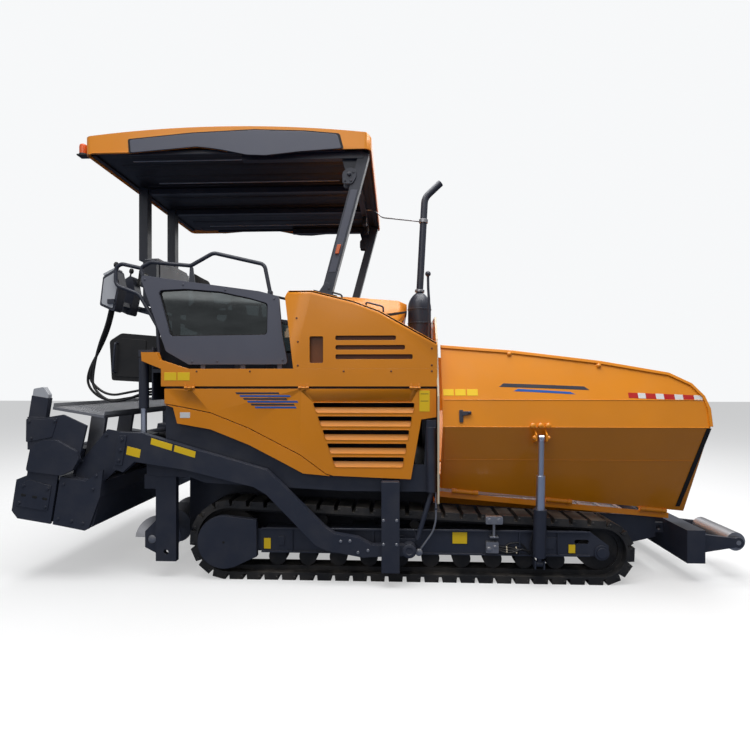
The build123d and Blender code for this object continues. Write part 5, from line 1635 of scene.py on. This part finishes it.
    def control_box(self) -> None:
        """Hang the black control box behind the platform, with its lid, sockets and grab rail."""
        box = Shape()
        box.slab(soft([(-2420, 1725), (-1982, 1700), (-1982, 2120), (-2330, 2150), (-2440, 2080)], 22), 822, 998)
        box.slab(soft([(-2395, 1760), (-2100, 1745), (-2100, 2085), (-2325, 2105), (-2400, 2060)], 18), 997, 1006)
        for z in (1790, 1870, 1950):
            box.lathe((-2418, -880, z), (-1, 0, 0), [(20, -4), (20, 12), (26, 14), (26, 26), (16, 28)], 16)
        box.mirror().make("control_boxes", "tractor", PLASTIC, 3)
        mark = Shape()
        mark.lathe((-2416, -950, 1990), (-1, 0, 0), [(18, -4), (18, 16), (12, 22)], 16)
        mark.mirror().make("red_connectors", "tractor", RED, 0)
        handle = Shape()
        handle.tube([(-2380, -1000, 1800), (-2380, -1048, 1800), (-2360, -1048, 2060), (-2360, -1000, 2060)], 9, 10, 26)
        handle.mirror().make("control_box_rails", "tractor", DARK, 0)

    def rails(self) -> None:
        """Fit the handrails' clamps and gussets, the side screens' bolts and the window seals."""
        clamps = Shape()
        for x, z in ((-2065, 2572), (-950, 2480)):
            clamps.lathe((x, -1102, z - 26), UP, [(24, 0), (24, 40), (19, 44)], 16)
        clamps.slab(soft([(-1668, 2568), (-1612, 2562), (-1630, 2712), (-1658, 2716)], 6), 1096, 1108)
        clamps.mirror().make("rail_clamps", "tractor", DARK, 1)
        bolts = Fasteners("screen_bolts", "tractor", SCREEN, 7, 5, Head.ROUND)
        spots = [(-2040, 2600), (-1700, 2552), (-1330, 2503), (-905, 2425)]
        spots += [(-830, 1900), (-1400, 1890), (-1620, 1885)]
        bolts.row([(x, -1150, z) for x, z in spots], OUTWARD).make()
        seal = Shape()
        window = [(-1920, 2505), (-1675, 2515), (-1380, 2490), (-1110, 2430), (-960, 2385), (-965, 2115), (-1815, 2105)]
        inner = soft([(x + (-1440 - x) * 0.025, z + (2310 - z) * 0.05) for x, z in window], 34)
        seal.hoop(soft(window, 34), inner, 1118, 1128)
        seal.mirror().make("window_seals", "tractor", RUBBER, 0)


@dataclass
class Canopy:
    """The roof's wavy edge, side shields, lining, lamps, folding joints, stay rod and exhaust trim."""

    half: float = 1165
    shield_top: Sequence[Point] = (
        (-2158, 3800), (-1610, 3844), (-1078, 3861), (-638, 3841), (-358, 3811), (-323, 3692)
    )
    shield_wave: Sequence[Point] = (
        (-673, 3673), (-972, 3645), (-1131, 3652), (-1326, 3694), (-1432, 3714), (-1575, 3731), (-2149, 3689)
    )
    rib_out: Sequence[float] = (0, 315, 562, 810, 1070)

    def build(self, frame: dict) -> None:
        """Make every piece of the canopy.
        """
        self.roof(frame)
        self.shields()
        self.lining()
        self.lamps()
        self.joints()
        self.exhaust()

    def roof(self, frame: dict) -> None:
        """Cut the wave in the roof's lower side edges and run a short drip bead along each side edge, behind the wave.
        """
        cutter = Shape()
        wave = [(-2149, 3680), (-1310, 3680), (-1326, 3694), (-1432, 3714), (-1575, 3731), (-2149, 3692)]
        cutter.slab(wave, self.half - 40, self.half + 20)
        bead = Shape()
        bead.tube([(-2500, -self.half - 1, 3697), (-2170, -self.half - 1, 3697)], 4, 8)
        carved(frame, "canopy_roof", "tractor", cutter.mirror(), bead.mirror(), ORANGE)

    def shields(self) -> None:
        """Hang the dark shields over the roof's sides, each with its seal."""
        outline = list(self.shield_top) + list(self.shield_wave)
        for side in Side:
            shape = Shape()
            shape.slab(soft(outline, 18), self.half + 3, self.half + 11)
            piece = shape.to(side).make(f"canopy_shield_{side.word}", "tractor", SCREEN, 2)
            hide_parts("canopy_shields")
        middle = Vector((-1240, 3760))
        seal = Shape()
        outer = soft([tuple(middle + (Vector(p) - middle) * 1.022) for p in outline], 18)
        seal.slab([(x, max(3646, z + (10 if z > 3760 else 0))) for x, z in outer], self.half, self.half + 4)
        seal.mirror().make("shield_seals", "tractor", RUBBER, 0)
        inner = Shape()
        inner.box((-2200, -300), (self.half - 60, self.half - 40), (3692, 3722))
        inner.mirror().make("shield_rails", "tractor", DARK, 2)

    def lining(self) -> None:
        """Mould the lining with soft ribs that run fore and aft, and two pale light strips."""
        shape = Shape()
        inner = self.half - 10
        shape.slab(soft(oblong(-2559, -81, 3720, 3728), 3), -inner + 48, inner - 48)
        turns = [math.pi * k / 8 for k in range(9)]
        for out in self.rib_out:
            for middle in {-out, out}:
                arch = [(middle + 58 * math.cos(t), 3722 - 13 * math.sin(t)) for t in turns]
                shape.across(arch, -2400, -200)
        for x in (-2530, -120):
            shape.box((x - 20, x + 20), (-1090, 1090), (3704, 3722))
        piece = shape.make("lining_panel", "tractor", LINING, 1.5)
        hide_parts("canopy_lining")
        strips = Shape()
        for out in (438, 940):
            strips.box((-2250, -420), (out - 5, out + 5), (3714, 3721))
        strips.mirror().make("lining_strips", "tractor", PANEL, 0)

    def lamps(self) -> None:
        """Fit the beacon, the four work lamps and the post's marker lamps."""
        beacon = Shape()
        beacon.lathe((-2620, -1090, 3722), UP, [(33, 0), (34, 60), (30, 80), (20, 87), (6, 89)], 28)
        piece = beacon.make("beacon_lens", "tractor", AMBER, 0)
        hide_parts("lamps")
        foot = Shape()
        foot.box((-2660, -2569), (1052, 1128), (3700, 3712))
        foot.lathe((-2620, -1090, 3711), UP, [(38, 0), (38, 9), (35, 12)], 24)
        foot.make("beacon_foot", "tractor", PLASTIC, 1)
        houses, lenses = Shape(), Shape()
        for out in (850, 500):
            houses.slab(soft([(-252, 3562), (-208, 3566), (-208, 3644), (-252, 3648)], 8), out - 58, out + 58)
            houses.box((-238, -222), (out - 10, out + 10), (3640, 3656))
            for near in (out - 66, out + 58):
                houses.slab(oblong(-236, -224, 3600, 3652), near, near + 8)
            lenses.slab(soft([(-209, 3572), (-204, 3574), (-204, 3638), (-209, 3640)], 1.5), out - 50, out + 50)
        houses.mirror().make("work_lamp_housings", "tractor", PLASTIC, 1)
        lenses.mirror().make("work_lamp_lenses", "tractor", LENS, 0)
        marker = Shape()
        marker.loft([self.post_ring(z, 1094, 1112, 16) for z in (2815, 2895)])
        marker.mirror().make("marker_lamps", "tractor", MARKER, 3)

    def post_ring(self, z: float, near: float, far: float, half: float) -> list[Point]:
        """Return a level section in front of the leaning post."""
        x = -482 + (z - 2400) * 0.27
        return [(x - half, -near, z), (x + half, -near, z), (x + half, -far, z), (x - half, -far, z)]

    def joints(self) -> None:
        """Dress the front posts with the folding joint's cheeks, pin, latch and foot bolts."""
        shape = Shape()
        cheek = soft([(-322, 3420), (-322, 3520), (-262, 3562), (-204, 3540), (-198, 3480), (-236, 3416)], 22)
        for near in (991, 1095):
            shape.slab(cheek, near, near + 12)
        shape.lathe((-262, -985, 3500), OUTWARD, [(18, 0), (18, 134), (12, 138)], 18)
        shape.slab(soft([(-330, 3655), (-190, 3655), (-215, 3540), (-300, 3540)], 8), 1034, 1066)
        shape.slab(soft([(-560, 2440), (-380, 2394), (-400, 2450), (-430, 2560), (-470, 2575)], 10), 1096, 1104)
        shape.mirror().make("folding_joints", "tractor", DARK, 2)
        bolts = Fasteners("post_bolts", "tractor", DARK, 9, 7)
        bolts.row([(x, -1107, z) for x, z in ((-248, 3446), (-300, 3446), (-226, 3518))], OUTWARD)
        bolts.row([(x, -1104, z) for x, z in ((-520, 2440), (-430, 2418), (-440, 2520))], OUTWARD).make()
        face = Shape()
        face.loft([self.post_ring(z, 1094, 1098, 30) for z in (2660, 3370)])
        face.mirror().make("post_cover_strips", "tractor", SCREEN, 1)

    def exhaust(self) -> None:
        """Clamp the stack, stay it to the canopy, band the bell and stand the sensor mast beside it."""
        rod = Shape()
        stay = [(-200, 300, 3676), (-120, 300, 3676), (-10, 180, 3545), (404, -570, 3252)]
        rod.tube(stay, 7, 10, 40)
        rod.lathe((402, -600, 3228), (0.05, 0, 1), [(36, 0), (43, 3), (43, 34), (36, 37)], 24)
        rod.lathe((366, -600, 2566), (0.05, 0, 1), [(38, 0), (46, 3), (46, 24), (38, 27)], 24)
        rod.make("exhaust_stay", "tractor", STEEL, 0)
        bell = Shape()
        for z in (2120, 2260, 2392):
            bell.lathe((365, -600, z), UP, [(109, 0), (114, 3), (114, 13), (109, 16)], 40)
        bell.make("bell_bands", "tractor", DARK, 0)
        mast = Shape()
        mast.tube([(440, -850, 2062), (440, -850, 2440), (432, -850, 2560), (430, -850, 2690)], 12, 12, 30)
        mast.ball((430, -850, 2690), 26)
        mast.lathe((440, -850, 2060), UP, [(30, 0), (30, 16), (16, 22)], 20)
        mast.make("sensor_mast", "tractor", DARK, 0)


@dataclass
class Screed:
    """Hardware of the screed, its extensions, walkway, tow arms, tow guides and augers."""

    half: float = 1230
    arm_out: float = 1245
    tread_pitch: float = 46

    def build(self) -> None:
        """Make every piece of the rear end."""
        self.walkway()
        self.end_hardware()
        self.extensions()
        self.arms()
        self.guides()
        for side in Side:
            self.auger(side)

    def walkway(self) -> None:
        """Stud the walkway's tread and fold up its edges."""
        studs = Fasteners("walkway_studs", "screed", WALK, 9, 4, Head.HEXAGON)
        up = raised(0, 0, 1) - raised(0, 0, 0)
        for i in range(9):
            for j in range(25):
                studs.add(raised(-2930 + i * self.tread_pitch, 30 + j * self.tread_pitch, 990), up)
        studs.make()
        edge = Shape()
        for rear in (-2970, -2516):
            edge.raised(oblong(rear, rear + 6, 985, 1022), -1198, 1198)
        edge.make("walkway_edges", "screed", WALK, 1)

    def end_hardware(self) -> None:
        """Bolt the end plates and brackets, and fit the frames and pipes on top."""
        bolts = Fasteners("screed_bolts", "screed", DARK, 11, 9)
        ends = ((-2740, 60), (-2740, 360), (-2520, 60), (-2480, 360), (-2620, 60), (-2470, 480))
        brackets = ((-2660, 560), (-2480, 820), (-2340, 820), (-2340, 640))
        bolts.row([raised(x, self.half + 20, z) for x, z in ends], OUTWARD)
        bolts.row([raised(x, 1175, z) for x, z in brackets], OUTWARD).make()
        frame = Shape()
        for x in (-2700, -2560):
            frame.raised(oblong(x, x + 60, 418, 470), 420, 760)
        for out in (380, 800):
            frame.raised(soft([(-2770, 418), (-2470, 418), (-2480, 560), (-2740, 560)], 20), out, out + 16)
        frame.mirror().make("screed_frames", "screed", DARK, 2)
        pipes = Shape()
        for x, z in ((-2500, 470), (-2460, 520), (-2530, 600)):
            pipes.tube([raised(x, -1100, z), raised(x, 1100, z)], 16, 12)
        pipes.make("screed_pipes", "screed", PLASTIC, 0)

    def extensions(self) -> None:
        """Dress each extension's end: guard plates with black oblongs as painted shade for their slots, bolts, screws
        and crank bracket.
        """
        for side in Side:
            body = f"extension_{side.word}"
            face = Shape()
            lower = soft([(-3120, 110), (-2840, 110), (-2840, 330), (-3040, 350), (-3120, 290)], 16)
            upper = soft([(-3120, 660), (-3150, 860), (-3000, 880), (-2880, 910), (-2900, 740)], 14)
            face.raised(lower, self.half + 19, self.half + 27).raised(upper, self.half + 19, self.half + 26)
            face.to(side).make(f"extension_guards_{side.word}", body, DARK, 2)
            slots = Shape()
            # black oblongs on the guard plate stand for the slots: painted shade where the openings are
            for x in (-3090, -2990, -2900):
                slots.raised(soft(oblong(x, x + 44, 200, 222), 10), self.half + 26, self.half + 28)
            slots.to(side).make(f"extension_slots_{side.word}", body, RUBBER, 0)
            bolts = Fasteners(f"extension_bolts_{side.word}", body, DARK, 11, 8)
            flip = Vector((1, -side.value, 1))
            low_bolts = ((-3095, 140), (-2865, 140), (-2865, 300), (-3080, 290))
            for x, z in (*low_bolts, (-3120, 840), (-2900, 880), (-3080, 700)):
                bolts.add(raised(x, self.half + 27, z) * flip, Vector(OUTWARD) * flip)
            bolts.make(both=False)
            bright = Shape()
            for x in (-3110, -3060):
                bright.tube([raised(x, 1200, 870), raised(x, 1200, 1040)], 9, 12)
            bright.lathe(raised(-2935, self.half + 22, 560), OUTWARD, [(30, 0), (30, 16), (22, 20)], 18)
            bright.to(side).make(f"extension_screws_{side.word}", body, STEEL, 0)
            crank = Shape()
            outline = soft([(-3146, 1040), (-3006, 1040), (-3006, 1090), (-3060, 1150), (-3146, 1120)], 12)
            crank.raised(outline, 1182, 1228)
            crank.to(side).make(f"crank_bracket_{side.word}", body, PANEL, 2)

    def arms(self) -> None:
        """Fix the blank yellow plates, the doublers and the bolts on the tow arms."""
        plates = Shape()
        for rear, front in ((-2050, -1862), (-1842, -1655)):
            top = [874 - (x + 2050) * 0.1275 for x in (rear, front)]
            corners = [(rear, top[0] - 54), (front, top[1] - 54), (front, top[1]), (rear, top[0])]
            plates.raised(corners, self.arm_out - 0.5, self.arm_out + 1.2)
        plates.mirror().make("arm_plates", "screed", YELLOW, 0)
        cap = Shape()
        outline = soft([(-2330, 600), (-2262, 600), (-2262, 860), (-2330, 850)], 10)
        cap.raised(outline, self.arm_out - 1, self.arm_out + 9)
        cap.mirror().make("arm_doublers", "screed", DARK, 2)
        spots = [raised(-2296, self.arm_out + 9, z) for z in (640, 730, 820)]
        Fasteners("arm_bolts", "screed", DARK, 12, 9).row(spots, OUTWARD).make()
        spots = [raised(x, self.arm_out, z) for x, z in ((-325, 288), (-249, 304), (-167, 220), (-87, 251))]
        Fasteners("arm_end_bolts", "screed", STEEL, 9, 7).row(spots, OUTWARD).make()
        plate = Shape()
        plate.raised([(-2245, 700), (-2125, 690), (-2125, 762), (-2245, 772)], self.arm_out - 0.5, self.arm_out + 1.2)
        plate.mirror().make("screed_plates", "screed", YELLOW, 0)

    def guides(self) -> None:
        """Bolt the tow guides and ring the tow pin's cap."""
        spots = [(x, -1275, z) for z in (368, 566) for x in (37, 146)]
        Fasteners("guide_bolts", "tractor", STEEL, 9, 4).row(spots, OUTWARD).make()
        cap = Shape()
        cap.slab(soft(oblong(22, 168, 845, 884), 6), 1160, 1270)
        cap.lathe((250, -1261, 310), OUTWARD, [(58, -4), (58, 4), (46, 8), (30, 8), (26, 4), (10, 4)], 32)
        cap.mirror().make("guide_caps", "tractor", DARK, 2)

    def auger(self, side: Side) -> None:
        """Sweep a true screw flight round the auger's shaft.

        Args:
            side: Which auger.
        """
        shape = Shape()
        shape.lathe((-2000, -5, 330), OUTWARD, [(38, 0), (38, 1090), (30, 1094)], 28)
        turns, steps = 3.5, 112
        rings = []
        for k in range(steps + 1):
            share = k / steps
            angle = 2 * math.pi * turns * share
            out = 165 + 870 * share
            way = Vector((math.cos(angle), 0, math.sin(angle)))
            rings.append([
                Vector((-2000, -out - lift, 330)) + way * radius
                for radius, lift in ((30, -7), (178, -4), (178, 4), (30, 7))
            ])
        shape.loft(rings)
        piece = shape.to(side).make(f"auger_flight_{side.word}", f"auger_{side.word}", STEEL, 0)
        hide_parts(f"auger_{side.word}")


@dataclass
class RearHoses:
    """Three hoses on each side from the outer console down to the back of the platform."""

    diameter: float = 22
    routes: Sequence[Sequence[float]] = ((972, -2650, 1570, 1600), (1000, -2610, 1620, 1650), (1028, -2570, 1560, 1625))

    def build(self) -> None:
        """Hang every hose as a smooth curve that goes back into the machine."""
        for side in Side:
            for index, (out, rear, low, end) in enumerate(self.routes):
                self.hose(side, index, out, rear, low, end)

    def hose(self, side: Side, index: int, out: float, rear: float, low: float, end: float) -> None:
        """Hang one hose.

        Args:
            side: Which side.
            index: Its number.
            out: Its distance out.
            rear: How far back its loop reaches.
            low: Its lowest point's height.
            end: Height at which it enters the platform's rear plate.
        """
        route = [(-1976, end), (-2080, end), (-2240, low), (rear + 160, low - 40), (rear - 10, low + 90)]
        route += [(rear, 1820), (-2520, 2040), (-2440, 2240), (-2415, 2368)]
        data = bpy.data.curves.new(f"rear_hose_{index}_{side.word}", "CURVE")
        data.dimensions = "3D"
        spline = data.splines.new("NURBS")
        spline.points.add(len(route) - 1)
        for point, (x, z) in zip(spline.points, route):
            point.co = (x * MM, side.value * out * MM, z * MM, 1)
        spline.order_u = 3
        spline.use_endpoint_u = True
        spline.resolution_u = 10
        hose = bpy.data.objects.new(data.name, data)
        bpy.context.scene.collection.objects.link(hose)
        graph = bpy.context.evaluated_depsgraph_get()
        line = bpy.data.meshes.new_from_object(hose.evaluated_get(graph))
        bpy.data.meshes.remove(line)
        data.bevel_depth = self.diameter * 0.0005
        data.bevel_resolution = 3
        data.use_fill_caps = True
        data.materials.append(PLASTIC.material())
        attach(hose, "tractor")
        start = (route[0][0] * MM, side.value * out * MM, route[0][1] * MM)


# --------------------------------------------------------------------- the build


def dress_nodes(frame: dict) -> None:
    """Give every CAD node the finish of its record slot.
    """
    slots = {row["node"]: row["material_slot"] for row in frame["record"]["subparts"]}
    for name, node in frame["nodes"].items():
        slot = slots.get(name, "dark_paint")
        material = glass_material() if slot == "tinted_glass" else NODE_FINISHES[slot].material()
        node.data.materials.clear()
        node.data.materials.append(material)


def main() -> None:
    """Build the scene piece by piece."""
    logging.basicConfig(level=logging.INFO, format="%(message)s")
    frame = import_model()
    Studio().build()
    RearHoses().build()
    dress_nodes(frame)
    Undercarriage().build(frame)
    Hopper().build(frame)
    Body().build(frame)
    Station().build()
    Canopy().build(frame)
    Screed().build()


if __name__ == "__main__":
    main()
